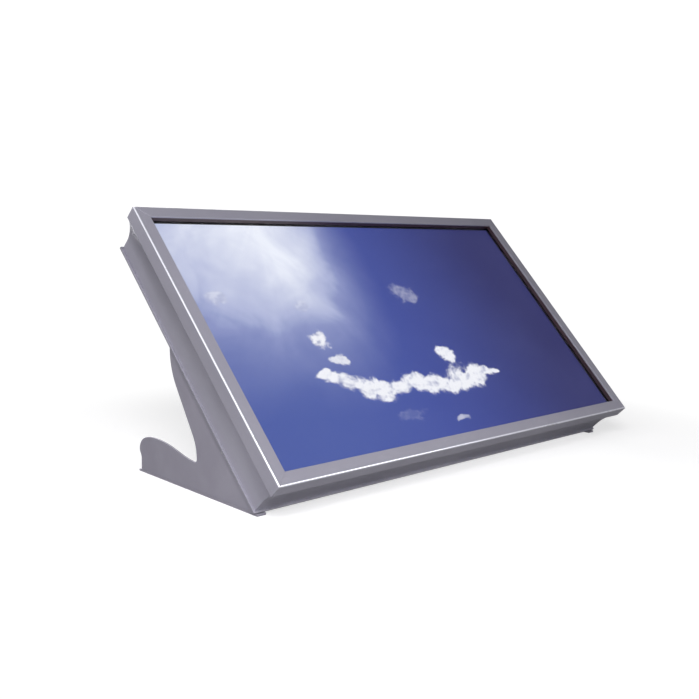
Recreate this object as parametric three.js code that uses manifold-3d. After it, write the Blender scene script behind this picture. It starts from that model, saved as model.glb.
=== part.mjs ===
// Free-standing touchscreen kiosk: a wide display held at a slope on two side legs.
// Millimetres, +Z up. The origin is on the floor, under the middle of the whole object.
// +X runs along the width, -Y is the side that the user stands at.

import * as THREE from "three";
import { mergeVertices } from "three/addons/utils/BufferGeometryUtils.js";
import Module from "manifold-3d";

const wasm = await Module();
wasm.setup();

// ---- fits ----
const gap = 0.3; // between two pieces that touch
const slack = 0.6; // around a shank in its hole
const doorGap = 0.9; // around the service door

// ---- display and its frame ----
const tilt = THREE.MathUtils.degToRad(45); // screen above the floor
const openingWidth = 1020; // visible screen
const openingHeight = 574;
const faceWidth = 26; // front face of the bezel
const bezelDepth = 30.6;
const bezelEdgeRadius = 3;
const bezelWall = 3;
const frontLip = 3.5; // thickness of the bezel where it meets the screen
const rearFlange = 15; // how far the bezel's rear flange reaches in
const glassDepth = 13; // glass below the front face
const glassThickness = 4;
const glassCover = 12; // how far the bezel covers the glass
const gasketThickness = 1.4;
const gasketWidth = 8;
const panelThickness = 8;
const backlightDepth = 28;
const backlightInset = 3; // in from the panel's edge
const keyArm = 70; // corner key
const keyHeight = 13;
const keyWidth = 9.2;

// ---- casing behind the bezel ----
const grooveInset = 4.5; // shadow line between bezel and casing
const grooveDepth = 2.4;
const casingInset = 13.5; // straight part of the casing, in from the bezel's edge
const coveRadius = 110;
const coveEnd = 80; // depth at which the cove meets the straight part
const serviceRoom = 6.8; // between the media player and the casing's rear flange
const casingWall = 2.5;
const casingFlange = 26.5; // rear flange, measured in from the casing's face

// ---- rear cover, service door ----
const coverInset = 9.2; // its edge shows as a thin lip
const coverThickness = 3.7;
const doorWidth = 240;
const doorHeight = 190;
const doorDown = 96; // its top edge below the frame's top edge
const hingeLength = 160;
const hingeRadius = 3;
const hingePinRadius = 1.5;
const hingeLeaf = 20;
const hingeLeafThickness = 1.5;
const hingeKnuckles = 5;
const lockInset = 20; // lock centre from the door's free edge
const lockRadius = 9.5;
const lockHeadRadius = 11.5;
const lockHead = 2;
const lockLength = 13.3; // housing behind the door
const plugRadius = 6;
const stemRadius = 3;
const camWidth = 12;
const camReach = 28;
const camThickness = 2.5;

// ---- fans and vents ----
const fanSize = 80;
const fanDepth = 25;
const fanWall = 2; // thinnest place of the fan frame
const fanHub = 17;
const fanBlades = 7;
const fanAcross = 345; // from the middle of the kiosk
const fanDown = 170.8; // below the frame's top edge
const ventSlot = 4.5;
const ventPitch = 9;
const intakeSlots = 20;
const intakePitch = 14;
const intakeLength = 56;
const intakeUp = 96;

// ---- electronics ----
const sheet = 2; // steel sheet of brackets and tray
const bracketAcross = 250;
const bracketWidth = 50;
const trayWidth = 550;
const trayUp = 150; // lower edge, up the slope from the frame's bottom edge
const trayDown = 80; // upper edge, below the frame's top edge
const playerSize = [175, 175, 34];
const supplySize = [110, 160, 34];
const boardSize = [140, 120, 12];
const controllerSize = [100, 50, 9];

// ---- sockets ----
const socketUp = 96;
const inletAcross = -262;
const switchAcross = -212;
const networkAcross = -172;

// ---- legs ----
const legThickness = 4;
const legInset = 14.5; // outer face, in from the bezel's edge
const legFlange = 25; // flange screwed to the rear cover
const legSole = 18; // flange along the leg's lower edge
const footThickness = 4; // flat foot plate under each leg
const footFront = 76; // from the bezel's lowest edge
const footLength = 380;
const footWidth = 20;
const heel = 445.8; // rear edge of the leg above its foot plate
const legTop = 344; // rear edge where it meets the cover
const legTopDrop = 9; // length of that edge before it sweeps forward
const throat = 256.5; // narrowest place of the leg, over the notch
const sweep = THREE.MathUtils.degToRad(33);
const upperSweepRadius = 126;
const lowerSweepRadius = 78;
const notchRadius = 6;
const humpAt = 396;
const humpHeight = 76.2;
const noseAt = 452.5;
const noseHeight = 45;
const heelHeight = 25;
const barUp = 139.4; // cross bar between the legs, up the slope
const barRadius = 5;
const barStandOff = 1.5; // off the rear cover
const barScrewHead = 2.6;
const barScrewShank = 1.6;
const barThread = 10; // depth of the bore in each end of the bar
const legScrewsUp = [62, 205, 345];
const coverScrewsAcross = [-400, -150, 150, 400];
const screwHeadRadius = 4.5;
const screwHead = 2.6;
const screwShank = 2.3;

// ---- worked out ----
const frameWidth = openingWidth + 2 * faceWidth;
const frameHeight = openingHeight + 2 * faceWidth;
const panelFront = glassDepth + glassThickness + gap + gasketThickness + gap;
const panelBack = panelFront + panelThickness;
const backlightBack = panelBack + gap + backlightDepth;
const bracketFront = backlightBack + gap;
const trayFront = bracketFront + sheet + gap;
const boardFront = trayFront + sheet + gap;
const casingDepth = boardFront + playerSize[2] + serviceRoom;
const coverFront = casingDepth + gap;
const coverBack = coverFront + coverThickness;
const legFront = coverBack + gap; // depth at which the leg flanges start
// The cover's lowest corner hangs just clear of the foot plates.
const drop = footThickness + gap + coverBack * Math.cos(tilt) - coverInset * Math.sin(tilt);
const legFace = frameWidth / 2 - legInset;
const screwInset = casingInset + casingFlange / 2 + 2;
const doorMiddle = frameHeight - doorDown - doorHeight / 2;
const fanUp = frameHeight - fanDown;
const fanBore = fanSize / 2 - fanWall;

// ---------------------------------------------------------------- solids

function toSolid(geometry) {
  const bare = geometry.clone();
  bare.deleteAttribute("normal");
  bare.deleteAttribute("uv");
  const merged = mergeVertices(bare, 1e-4);
  const corners = merged.index.array;
  const triangles = [];
  for (let i = 0; i < corners.length; i += 3) {
    const [a, b, c] = corners.subarray(i, i + 3);
    if (a !== b && b !== c && c !== a) triangles.push(a, b, c);
  }
  const vertProperties = Float32Array.from(merged.attributes.position.array);
  const triVerts = Uint32Array.from(triangles);
  return new wasm.Manifold(new wasm.Mesh({ numProp: 3, vertProperties, triVerts }));
}

function toGeometry(solid) {
  const { vertProperties, triVerts } = solid.getMesh();
  const geometry = new THREE.BufferGeometry();
  geometry.setAttribute("position", new THREE.BufferAttribute(vertProperties, 3));
  geometry.setIndex(new THREE.BufferAttribute(triVerts, 1));
  geometry.computeVertexNormals();
  return geometry;
}

function joined(...pieces) {
  return toGeometry(pieces.map(toSolid).reduce((whole, next) => whole.add(next)));
}

function cut(piece, tools) {
  return toGeometry(tools.map(toSolid).reduce((whole, tool) => whole.subtract(tool), toSolid(piece)));
}

// A box between two corners.
function block(x0, x1, y0, y1, z0, z1) {
  const box = new THREE.BoxGeometry(x1 - x0, y1 - y0, z1 - z0);
  return box.translate((x0 + x1) / 2, (y0 + y1) / 2, (z0 + z1) / 2);
}

// A round bar along the screen's normal, between two depths below the front face.
function rod(radius, u, v, front, back, sides = 24) {
  const bar = new THREE.CylinderGeometry(radius, radius, back - front, sides).rotateX(Math.PI / 2);
  return bar.translate(u, v, -(front + back) / 2);
}

// A slab parallel to the screen: across and up the slope by its middle, then front and back depth.
function slab(u, v, width, height, front, back) {
  return block(u - width / 2, u + width / 2, v - height / 2, v + height / 2, -back, -front);
}

// A slot with round ends, cut square to the screen.
function slot(u, v, length, width, upright, front, back) {
  const half = (length - width) / 2;
  const outline = new THREE.Shape();
  outline.absarc(half, 0, width / 2, -Math.PI / 2, Math.PI / 2);
  outline.absarc(-half, 0, width / 2, Math.PI / 2, Math.PI * 1.5);
  const tool = prism(outline, back - front, 3);
  if (upright) tool.rotateZ(Math.PI / 2);
  return tool.translate(u, v, -back);
}

// A straight prism along +Z; round stretches of the outline get the given number of steps.
function prism(outline, depth, curveSegments = 10) {
  return new THREE.ExtrudeGeometry(outline, { depth, bevelEnabled: false, curveSegments });
}

// Turns a prism drawn in (height, depth) or (back, up) so that it runs across the kiosk.
function across(geometry) {
  const [x, y, z] = [[0, 1, 0], [0, 0, 1], [1, 0, 0]].map((axis) => new THREE.Vector3(...axis));
  return geometry.applyMatrix4(new THREE.Matrix4().makeBasis(x, y, z));
}

function polygon(points) {
  return new THREE.Shape(points.map(([x, y]) => new THREE.Vector2(x, y)));
}

function mesh(name, geometry, material) {
  const piece = new THREE.Mesh(geometry, material.clone());
  piece.name = name;
  return piece;
}

// ---------------------------------------------------------------- materials

function finish(color, roughness, metalness) {
  return new THREE.MeshStandardMaterial({ color, roughness, metalness });
}

const satinAluminium = finish(0xa9a7b3, 0.42, 0.6);
const brushedPlate = finish(0x8d8b97, 0.5, 0.6);
const castKey = finish(0x6f7074, 0.6, 0.7);
const steel = finish(0x9a9ca0, 0.4, 0.9);
const darkFilter = finish(0x2f1f20, 0.3, 0);
const glassFinish = finish(0x1a2438, 0.05, 0);
const rubber = finish(0x1e1e20, 0.85, 0);
const screenFinish = finish(0x3c4f9c, 0.3, 0);
const zincSheet = finish(0xb4b7b6, 0.45, 0.8);
const blackPlastic = finish(0x18181a, 0.55, 0);
const circuitGreen = finish(0x1f5a35, 0.5, 0.1);
const brass = finish(0xb08d4a, 0.35, 0.9);

// ---------------------------------------------------------------- frame rails

// A section is drawn as inset from the outer edge and height over the front face, so depths are
// negative. The ends follow the inset, which mitres them at 45 degrees.
function mitredRail(section, length) {
  const rail = prism(section, 1);
  const corners = rail.attributes.position;
  for (let i = 0; i < corners.count; i += 1) {
    const inset = corners.getX(i);
    const reach = length / 2 - inset - gap / 2;
    corners.setXYZ(i, corners.getZ(i) > 0.5 ? reach : -reach, inset, corners.getY(i));
  }
  return rail;
}

function bezelSection() {
  const outline = new THREE.Shape();
  outline.moveTo(bezelEdgeRadius, 0);
  outline.absarc(bezelEdgeRadius, -bezelEdgeRadius, bezelEdgeRadius, Math.PI / 2, Math.PI);
  outline.lineTo(0, -bezelDepth);
  outline.lineTo(rearFlange, -bezelDepth);
  outline.lineTo(rearFlange, bezelWall - bezelDepth);
  outline.lineTo(bezelWall, bezelWall - bezelDepth);
  outline.lineTo(bezelWall, -frontLip);
  outline.lineTo(faceWidth, -frontLip);
  outline.lineTo(faceWidth, -0.8);
  outline.lineTo(faceWidth - 0.8, 0);
  return outline;
}

// How far in from the bezel's edge the casing's outer face lies at a depth.
function coveInset(depth) {
  const before = Math.max(coveEnd - depth, 0);
  return casingInset - (coveRadius - Math.sqrt(coveRadius ** 2 - before ** 2));
}

function casingSection() {
  const front = bezelDepth + gap;
  const coveStart = front + grooveDepth;
  const steps = 9;
  const step = (coveEnd - coveStart) / steps;
  const depths = Array.from({ length: steps + 1 }, (_, i) => coveStart + step * i);
  const outside = depths.map((depth) => [coveInset(depth), -depth]);
  const inside = depths.map((depth) => [coveInset(depth) + casingWall, -depth]).reverse();
  const flangeEnd = casingInset + casingFlange;
  return polygon([
    [grooveInset, -front],
    [grooveInset, -coveStart],
    ...outside,
    [casingInset, -casingDepth],
    [flangeEnd, -casingDepth],
    [flangeEnd, sheet + 1 - casingDepth],
    [casingInset + casingWall, sheet + 1 - casingDepth],
    ...inside.filter(([, z]) => z < -coveStart - casingWall),
    [rearFlange, -coveStart - casingWall + 1],
    [rearFlange, -front],
  ]);
}

// Four copies of a rail round the frame, from the bottom one.
function frameSides() {
  return [
    { side: "bottom", turn: 0, length: frameWidth, half: frameHeight / 2 },
    { side: "right", turn: 1, length: frameHeight, half: frameWidth / 2 },
    { side: "top", turn: 2, length: frameWidth, half: frameHeight / 2 },
    { side: "left", turn: 3, length: frameHeight, half: frameWidth / 2 },
  ];
}

// A screw hole through the rear flanges, as places in the slope's own frame.
const coverScrewPlaces = coverScrewsAcross.map((u) => [u, frameHeight - screwInset]);
const legScrewAcross = frameWidth / 2 - screwInset;
const legScrewPlaces = [-1, 1].map((side) => legScrewsUp.map((v) => [side * legScrewAcross, v]));
const screwHoles = [...coverScrewPlaces, ...legScrewPlaces.flat()].map(([u, v]) =>
  rod(screwShank + slack / 2, u, v, casingDepth - 10, coverBack + 10, 12),
);

function buildRails(slope) {
  for (const { side, turn, length, half } of frameSides()) {
    const placed = (section) =>
      mitredRail(section, length)
        .translate(0, -half, 0)
        .rotateZ((turn * Math.PI) / 2)
        .translate(0, frameHeight / 2, 0);
    slope.add(mesh(`bezel_rail_${side}`, placed(bezelSection()), satinAluminium));
    const casing = side === "bottom" ? placed(casingSection()) : cut(placed(casingSection()), screwHoles);
    slope.add(mesh(`casing_rail_${side}`, casing, satinAluminium));
  }
}

// An L-shaped key in the bezel's channel joins two mitred rails.
function buildCornerKeys(slope) {
  const from = bezelWall + gap;
  const corner = polygon([
    [from, from],
    [from + keyArm, from],
    [from + keyArm, from + keyWidth],
    [from + keyWidth, from + keyWidth],
    [from + keyWidth, from + keyArm],
    [from, from + keyArm],
  ]);
  const body = prism(corner, keyHeight);
  const back = bezelDepth - bezelWall - gap;
  const pins = [from + keyArm - 15, from + keyArm - 40];
  const holes = pins.flatMap((at) => [
    new THREE.CylinderGeometry(1.6, 1.6, 30, 12).translate(at, from, keyHeight / 2),
    new THREE.CylinderGeometry(1.6, 1.6, 30, 12).rotateZ(Math.PI / 2).translate(from, at, keyHeight / 2),
  ]);
  const key = cut(body, holes);
  const corners = [
    ["bottom_left", 0, -1, -1],
    ["bottom_right", 1, 1, -1],
    ["top_right", 2, 1, 1],
    ["top_left", 3, -1, 1],
  ];
  for (const [place, turn, across, up] of corners) {
    const piece = mesh(`corner_key_${place}`, key.clone(), castKey);
    piece.rotation.z = (turn * Math.PI) / 2;
    piece.position.set((across * frameWidth) / 2, frameHeight / 2 + (up * frameHeight) / 2, -back);
    slope.add(piece);
  }
}

// ---------------------------------------------------------------- display stack

// Emitters and sensors sit in four bars round the glass, behind a dark filter.
function buildTouchBars(slope) {
  const outer = faceWidth - glassCover + gap;
  const inner = faceWidth - gap - 0.1;
  const section = polygon([
    [outer, -frontLip - gap],
    [outer, gap - glassDepth],
    [inner, gap - glassDepth],
    [inner, -frontLip - gap],
  ]);
  for (const { side, turn, length, half } of frameSides()) {
    const bar = mesh(`touch_bar_${side}`, mitredRail(section, length).translate(0, -half, 0), darkFilter);
    bar.rotation.z = (turn * Math.PI) / 2;
    bar.position.y = frameHeight / 2;
    slope.add(bar);
  }
}

function buildDisplay(slope) {
  const middle = frameHeight / 2;
  const glassWidth = openingWidth + 2 * glassCover;
  const glassHeight = openingHeight + 2 * glassCover;
  const glassBack = glassDepth + glassThickness;
  const glass = slab(0, middle, glassWidth, glassHeight, glassDepth, glassBack);
  slope.add(mesh("front_glass", glass, glassFinish));

  const gasketFront = glassBack + gap;
  const gasketBack = gasketFront + gasketThickness;
  const gasketSize = [openingWidth + 2 * gasketWidth, openingHeight + 2 * gasketWidth];
  const view = slab(0, middle, openingWidth, openingHeight, gasketFront - 1, gasketBack + 1);
  const ring = cut(slab(0, middle, ...gasketSize, gasketFront, gasketBack), [view]);
  slope.add(mesh("glass_gasket", ring, rubber));

  const panelEdge = rearFlange + 1;
  const panelWidth = frameWidth - 2 * panelEdge;
  const panelHeight = frameHeight - 2 * panelEdge;
  const panel = slab(0, middle, panelWidth, panelHeight, panelFront, panelBack);
  slope.add(mesh("lcd_panel", panel, screenFinish));

  // The backlight is a shallow sheet pan, open towards the panel.
  const panFront = panelBack + gap;
  const panWidth = panelWidth - 2 * backlightInset;
  const panHeight = panelHeight - 2 * backlightInset;
  const pan = slab(0, middle, panWidth, panHeight, panFront, backlightBack);
  const hollowSize = [panWidth - 2 * sheet, panHeight - 2 * sheet];
  const hollow = slab(0, middle, ...hollowSize, panFront - 1, backlightBack - sheet);
  slope.add(mesh("lcd_backlight", cut(pan, [hollow]), zincSheet));
}

// ---------------------------------------------------------------- electronics on their tray

// A hat-shaped strip from the bottom casing rail to the top one carries the display and the tray.
function buildBrackets(slope) {
  const footStart = casingInset + casingWall + gap + 1;
  const footEnd = casingInset + casingFlange - 3;
  const footBack = casingDepth - sheet - 1 - gap;
  const footFront = footBack - sheet;
  const bracketBack = bracketFront + sheet;
  const profile = polygon([
    [footStart, -footBack],
    [footStart, -footFront],
    [footEnd, -footFront],
    [footEnd, -bracketFront],
    [frameHeight - footEnd, -bracketFront],
    [frameHeight - footEnd, -footFront],
    [frameHeight - footStart, -footFront],
    [frameHeight - footStart, -footBack],
    [frameHeight - footEnd - sheet, -footBack],
    [frameHeight - footEnd - sheet, -bracketBack],
    [footEnd + sheet, -bracketBack],
    [footEnd + sheet, -footBack],
  ]);
  const strip = across(prism(profile, bracketWidth).translate(0, 0, -bracketWidth / 2));
  for (const [place, side] of [["left", -1], ["right", 1]]) {
    const bracket = mesh(`panel_bracket_${place}`, strip.clone(), zincSheet);
    bracket.position.x = side * bracketAcross;
    slope.add(bracket);
  }
}

function buildElectronics(slope) {
  const trayBack = trayFront + sheet;
  const trayHeight = frameHeight - trayUp - trayDown;
  const plate = slab(0, trayUp + trayHeight / 2, trayWidth, trayHeight, trayFront, trayBack);
  const windows = [-1, 1].map((side) => slab(side * 60, trayUp + 80, 90, 100, trayFront - 1, trayBack + 1));
  const tray = cut(plate, windows);
  slope.add(mesh("electronics_tray", tray, zincSheet));

  // Media player: an aluminium case with cooling fins along its back.
  const [playerWidth, playerHeight, playerDepth] = playerSize;
  const playerAcross = -30;
  const playerBack = boardFront + playerDepth;
  const finPitch = 11;
  const finRoot = playerBack - 9;
  const grooves = Array.from({ length: 15 }, (_, i) =>
    slab(playerAcross + (i - 7) * finPitch, doorMiddle, 5, playerHeight + 2, finRoot, playerBack + 1));
  const playerCase = slab(playerAcross, doorMiddle, playerWidth, playerHeight, boardFront, playerBack);
  const player = cut(playerCase, grooves);
  slope.add(mesh("media_player", player, blackPlastic));

  const [supplyWidth, supplyHeight, supplyDepth] = supplySize;
  const supplyBack = boardFront + supplyDepth;
  const supplyAcross = -195;
  const supplyUp = trayUp + 30 + supplyHeight / 2;
  const terminalsUp = supplyUp - supplyHeight / 2 + 10;
  const terminals = slab(supplyAcross, terminalsUp, supplyWidth + 2, 24, boardFront + 14, supplyBack + 1);
  const supplyCase = slab(supplyAcross, supplyUp, supplyWidth, supplyHeight, boardFront, supplyBack);
  const supply = cut(supplyCase, [terminals]);
  slope.add(mesh("power_supply", supply, zincSheet));

  // Each board carries a chip under a heat sink and rows of connectors along its edges.
  const [boardWidth, boardHeight, boardTop] = boardSize;
  const board = joined(
    slab(0, 0, boardWidth, boardHeight, 0, 4),
    slab(-10, 12, 44, 44, 3, boardTop),
    slab(0, 15 - boardHeight / 2, boardWidth - 30, 14, 3, boardTop - 2),
    slab(boardWidth / 2 - 17, 12, 14, boardHeight / 2, 3, boardTop - 1),
  );
  const boardPiece = mesh("display_board", board, circuitGreen);
  boardPiece.position.set(175, trayUp + 40 + boardHeight / 2, -boardFront);
  slope.add(boardPiece);

  const [controllerWidth, controllerHeight, controllerTop] = controllerSize;
  const controller = joined(
    slab(0, 0, controllerWidth, controllerHeight, 0, 3),
    slab(0, 6, 24, 24, 2, controllerTop - 3),
    slab(0, 7 - controllerHeight / 2, controllerWidth - 30, 8, 2, controllerTop),
  );
  const controllerPiece = mesh("touch_controller", controller, circuitGreen);
  const controllerUp = boardPiece.position.y + (boardHeight + controllerHeight) / 2 + 15;
  controllerPiece.position.set(200, controllerUp, -boardFront);
  slope.add(controllerPiece);
}

// ---------------------------------------------------------------- fans

function fanFrameGeometry() {
  const half = fanSize / 2;
  const shell = slab(0, 0, fanSize, fanSize, 0, fanDepth);
  const bore = rod(fanBore, 0, 0, -1, fanDepth + 1, 28);
  const corner = half - 4.25;
  const mounts = [-1, 1].flatMap((x) => [-1, 1].map((y) =>
    rod(2.2, x * corner, y * corner, -1, fanDepth + 1, 8)));
  const struts = [0, 1].map((i) =>
    block(-half + 1, half - 1, -2.5, 2.5, -4, 0).rotateZ(Math.PI / 4 + (i * Math.PI) / 2));
  const motorSeat = rod(fanHub - 1, 0, 0, 0, 4, 24);
  const post = rod(2, 0, 0, 3, fanDepth - 6, 12);
  return joined(cut(shell, [bore, ...mounts]), ...struts, motorSeat, post);
}

function fanRotorGeometry() {
  const front = 4 + gap;
  const back = fanDepth - 2;
  const hub = rod(fanHub, 0, 0, front, back, 24);
  const well = rod(2 + gap, 0, 0, front - 1, fanDepth - 6 + gap, 12);
  const pitch = THREE.MathUtils.degToRad(38);
  const tip = fanBore - 1.5;
  const blades = Array.from({ length: fanBlades }, (_, i) =>
    block(fanHub - 2, tip, -12, 12, -1, 1)
      .rotateX(pitch)
      .translate(0, 0, -(front + back) / 2)
      .rotateZ((i * 2 * Math.PI) / fanBlades));
  const room = rod(tip, 0, 0, front, back, 32);
  const swept = toSolid(joined(hub, ...blades)).intersect(toSolid(room));
  return toGeometry(swept.subtract(toSolid(well)));
}

function buildFans(slope) {
  for (const [place, side] of [["left", -1], ["right", 1]]) {
    const fan = new THREE.Group();
    fan.add(mesh(`fan_frame_${place}`, fanFrameGeometry(), blackPlastic));
    fan.add(mesh(`fan_rotor_${place}`, fanRotorGeometry(), blackPlastic));
    fan.position.set(side * fanAcross, fanUp, -(coverFront - gap - fanDepth));
    slope.add(fan);
  }
}

// ---------------------------------------------------------------- rear cover and service door

const hingeAxis = { u: -doorWidth / 2 - doorGap / 2, depth: coverBack + gap + hingeRadius };
const lock = { u: doorWidth / 2 - lockInset, v: doorMiddle };
const inletOpening = [27.6, 20.4];
const switchOpening = [13.2, 19.4];
const networkOpening = [16.4, 14.4];

function fanVent(across) {
  const rows = 2 * Math.floor((fanBore - 1) / ventPitch);
  return Array.from({ length: rows }, (_, i) => {
    const up = (i - (rows - 1) / 2) * ventPitch;
    const half = Math.sqrt((fanBore - 1) ** 2 - up ** 2);
    return slot(across, fanUp + up, 2 * half, ventSlot, false, coverFront - 1, coverBack + 1);
  });
}

function buildRearCover(slope) {
  const size = [frameWidth - 2 * coverInset, frameHeight - 2 * coverInset];
  const plate = slab(0, frameHeight / 2, ...size, coverFront, coverBack);
  const through = (u, v, [width, height]) => slab(u, v, width, height, coverFront - 1, coverBack + 1);
  const intake = Array.from({ length: intakeSlots }, (_, i) =>
    slot((i - 4) * intakePitch, intakeUp, intakeLength, ventSlot, true, coverFront - 1, coverBack + 1));
  const openings = [
    through(0, doorMiddle, [doorWidth + 2 * doorGap, doorHeight + 2 * doorGap]),
    through(inletAcross, socketUp, inletOpening),
    through(switchAcross, socketUp, switchOpening),
    through(networkAcross, socketUp, networkOpening),
    ...fanVent(-fanAcross),
    ...fanVent(fanAcross),
    ...intake,
    ...screwHoles,
  ];
  slope.add(mesh("rear_cover", cut(plate, openings), brushedPlate));
}

function hingeLeafGeometry(side) {
  const knuckle = hingeLength / hingeKnuckles;
  const start = doorMiddle - hingeLength / 2;
  const parts = [];
  const near = hingeAxis.u + side * (hingeRadius * 0.6);
  const far = hingeAxis.u + side * (doorGap + hingeLeaf);
  const front = coverBack + gap;
  parts.push(block(Math.min(near, far), Math.max(near, far), start, start + hingeLength,
    -(front + hingeLeafThickness), -front));
  const bore = new THREE.CylinderGeometry(hingePinRadius + gap, hingePinRadius + gap, hingeLength + 10, 16);
  const reliefs = [bore.translate(hingeAxis.u, doorMiddle, -hingeAxis.depth)];
  for (let i = 0; i < hingeKnuckles; i += 1) {
    const middle = start + (i + 0.5) * knuckle;
    const mine = (i % 2 === 0) === (side < 0);
    const barrel = new THREE.CylinderGeometry(hingeRadius, hingeRadius, knuckle - gap * 2, 20);
    if (mine) parts.push(barrel.translate(hingeAxis.u, middle, -hingeAxis.depth));
    const roomRadius = hingeRadius + gap * 2;
    const room = new THREE.CylinderGeometry(roomRadius, roomRadius, knuckle + gap, 20);
    if (!mine) reliefs.push(room.translate(hingeAxis.u, middle, -hingeAxis.depth));
  }
  return cut(joined(...parts), reliefs);
}

function buildDoor(slope) {
  const plate = slab(0, doorMiddle, doorWidth, doorHeight, coverFront, coverBack);
  const hole = rod(lockRadius + gap, lock.u, lock.v, coverFront - 1, coverBack + 1);
  slope.add(mesh("service_door", cut(plate, [hole]), brushedPlate));
  slope.add(mesh("hinge_cover_leaf", hingeLeafGeometry(-1), steel));
  slope.add(mesh("hinge_door_leaf", hingeLeafGeometry(1), steel));
  const pinShape = new THREE.CylinderGeometry(hingePinRadius, hingePinRadius, hingeLength + 2, 16);
  const pin = mesh("hinge_pin", pinShape, steel);
  pin.position.set(hingeAxis.u, doorMiddle, -hingeAxis.depth);
  slope.add(pin);
}

// The housing stays in the door; the plug and its cranked cam turn a quarter.
function buildLock(slope) {
  const headBack = coverBack + gap + lockHead;
  const housingFront = coverFront - lockLength;
  const housing = joined(
    rod(lockRadius, 0, 0, housingFront, headBack - 0.5, 28),
    rod(lockHeadRadius, 0, 0, coverBack + gap, headBack, 28),
  );
  const bored = cut(housing, [rod(plugRadius + gap, 0, 0, housingFront - 1, headBack + 1)]);
  const plugFront = housingFront - gap;
  const stem = rod(stemRadius, 0, 0, plugFront - camThickness - 3, plugFront + 1, 16);
  const keyway = slab(0, 0, 1.8, 7, headBack - 6, headBack + 1);
  const plug = cut(joined(rod(plugRadius, 0, 0, plugFront, headBack - 0.4), stem), [keyway]);

  const camBack = plugFront - gap;
  const camFront = camBack - camThickness;
  const tongueBack = coverFront - 0.7;
  const crank = lockRadius + 1.5;
  const half = camWidth / 2;
  const cam = joined(
    block(-half, half, -half, crank + camThickness, -camBack, -camFront),
    block(-half, half, crank, crank + camThickness, -tongueBack, -camFront),
    block(-half, half, crank, camReach, -tongueBack, camThickness - tongueBack),
  );
  const holed = cut(cam, [rod(stemRadius + gap, 0, 0, camFront - 1, camBack + 1, 16)]);
  const place = new THREE.Group();
  place.position.set(lock.u, lock.v, 0);
  place.add(mesh("lock_housing", bored, steel));
  place.add(mesh("lock_plug", plug, brass));
  place.add(mesh("lock_cam", holed, steel));
  slope.add(place);
}

// ---------------------------------------------------------------- sockets and switch

// A moulded body through its opening in the cover, with a rim that rests on the cover's back.
function socketBody([width, height], rim, bodyDepth, rimThickness) {
  const front = coverFront - bodyDepth;
  const back = coverBack + gap;
  return joined(
    slab(0, 0, width - 2 * gap, height - 2 * gap, front, back + 0.5),
    slab(0, 0, width + 2 * rim, height + 2 * rim, back, back + rimThickness),
  );
}

function buildSockets(slope) {
  const outer = coverBack + 6;
  const inletBottom = coverFront - 18;
  const pinTip = inletBottom + 8;
  const pins = [-7, 0, 7].map((u, i) => slab(u, i === 1 ? 2.5 : -1.5, 2, 4, inletBottom - 1, pinTip));
  const inlet = joined(
    cut(socketBody(inletOpening, 3, 22, 2.5), [slab(0, 0, 24.5, 16.5, inletBottom, outer)]),
    ...pins,
  );
  const inletPiece = mesh("power_inlet", inlet, blackPlastic);
  inletPiece.position.set(inletAcross, socketUp, 0);
  slope.add(inletPiece);

  const port = mesh("network_socket", cut(socketBody(networkOpening, 1.5, 14, 1.5), [
    slab(0, -0.6, 11.8, 8, coverFront - 11, outer),
    slab(0, 4.2, 6, 3, coverFront - 11, outer),
  ]), blackPlastic);
  port.position.set(networkAcross, socketUp, 0);
  slope.add(port);
}

// The rocker turns on two stubs in its frame and rests pressed at its lower end.
function buildSwitch(slope) {
  const pivot = coverBack - 1.5;
  const rockerWidth = 8.4;
  const rockerLength = 15;
  const stub = 1.2;
  const rest = THREE.MathUtils.degToRad(-8);
  const well = slab(0, 0, rockerWidth + 2 * gap, rockerLength + 1.2, coverFront - 12, coverBack + 6);
  const stubHole = new THREE.CylinderGeometry(stub + gap, stub + gap, 11.4, 14).rotateZ(Math.PI / 2);
  const frame = cut(socketBody(switchOpening, 1.6, 16, 1.8), [well, stubHole.translate(0, 0, -pivot)]);
  const framePiece = mesh("switch_frame", frame, blackPlastic);
  framePiece.position.set(switchAcross, socketUp, 0);
  slope.add(framePiece);

  const half = rockerLength / 2;
  const outline = new THREE.Shape();
  outline.moveTo(-half + 0.6, 4.2);
  outline.lineTo(-half, -3.9);
  outline.quadraticCurveTo(0, -1.4, half, -3.9);
  outline.lineTo(half - 0.6, 4.2);
  const body = across(prism(outline, rockerWidth, 8).translate(0, 0, -rockerWidth / 2));
  const axle = new THREE.CylinderGeometry(stub, stub, 10.6, 14).rotateZ(Math.PI / 2);
  const rocker = mesh("switch_rocker", joined(body, axle), blackPlastic);
  rocker.rotation.x = rest;
  rocker.position.set(switchAcross, socketUp, -pivot);
  slope.add(rocker);
}

// ---------------------------------------------------------------- screws and cross bar

// A button-head screw along -Z, its head's underside at the origin, with a hexagon socket.
function screwGeometry(headRadius, headHeight, shankRadius, length) {
  const profile = [
    [0, -length],
    [shankRadius, -length],
    [shankRadius, 0],
    [headRadius, 0],
    [headRadius, headHeight * 0.4],
    [headRadius * 0.7, headHeight],
    [0, headHeight],
  ].map(([x, y]) => new THREE.Vector2(x, y));
  const turned = new THREE.LatheGeometry(profile, 12).rotateX(Math.PI / 2);
  const keyRadius = headRadius * 0.42;
  const key = new THREE.CylinderGeometry(keyRadius, keyRadius, headHeight, 6).rotateX(Math.PI / 2);
  return cut(turned, [key.translate(0, 0, headHeight)]);
}

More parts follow.
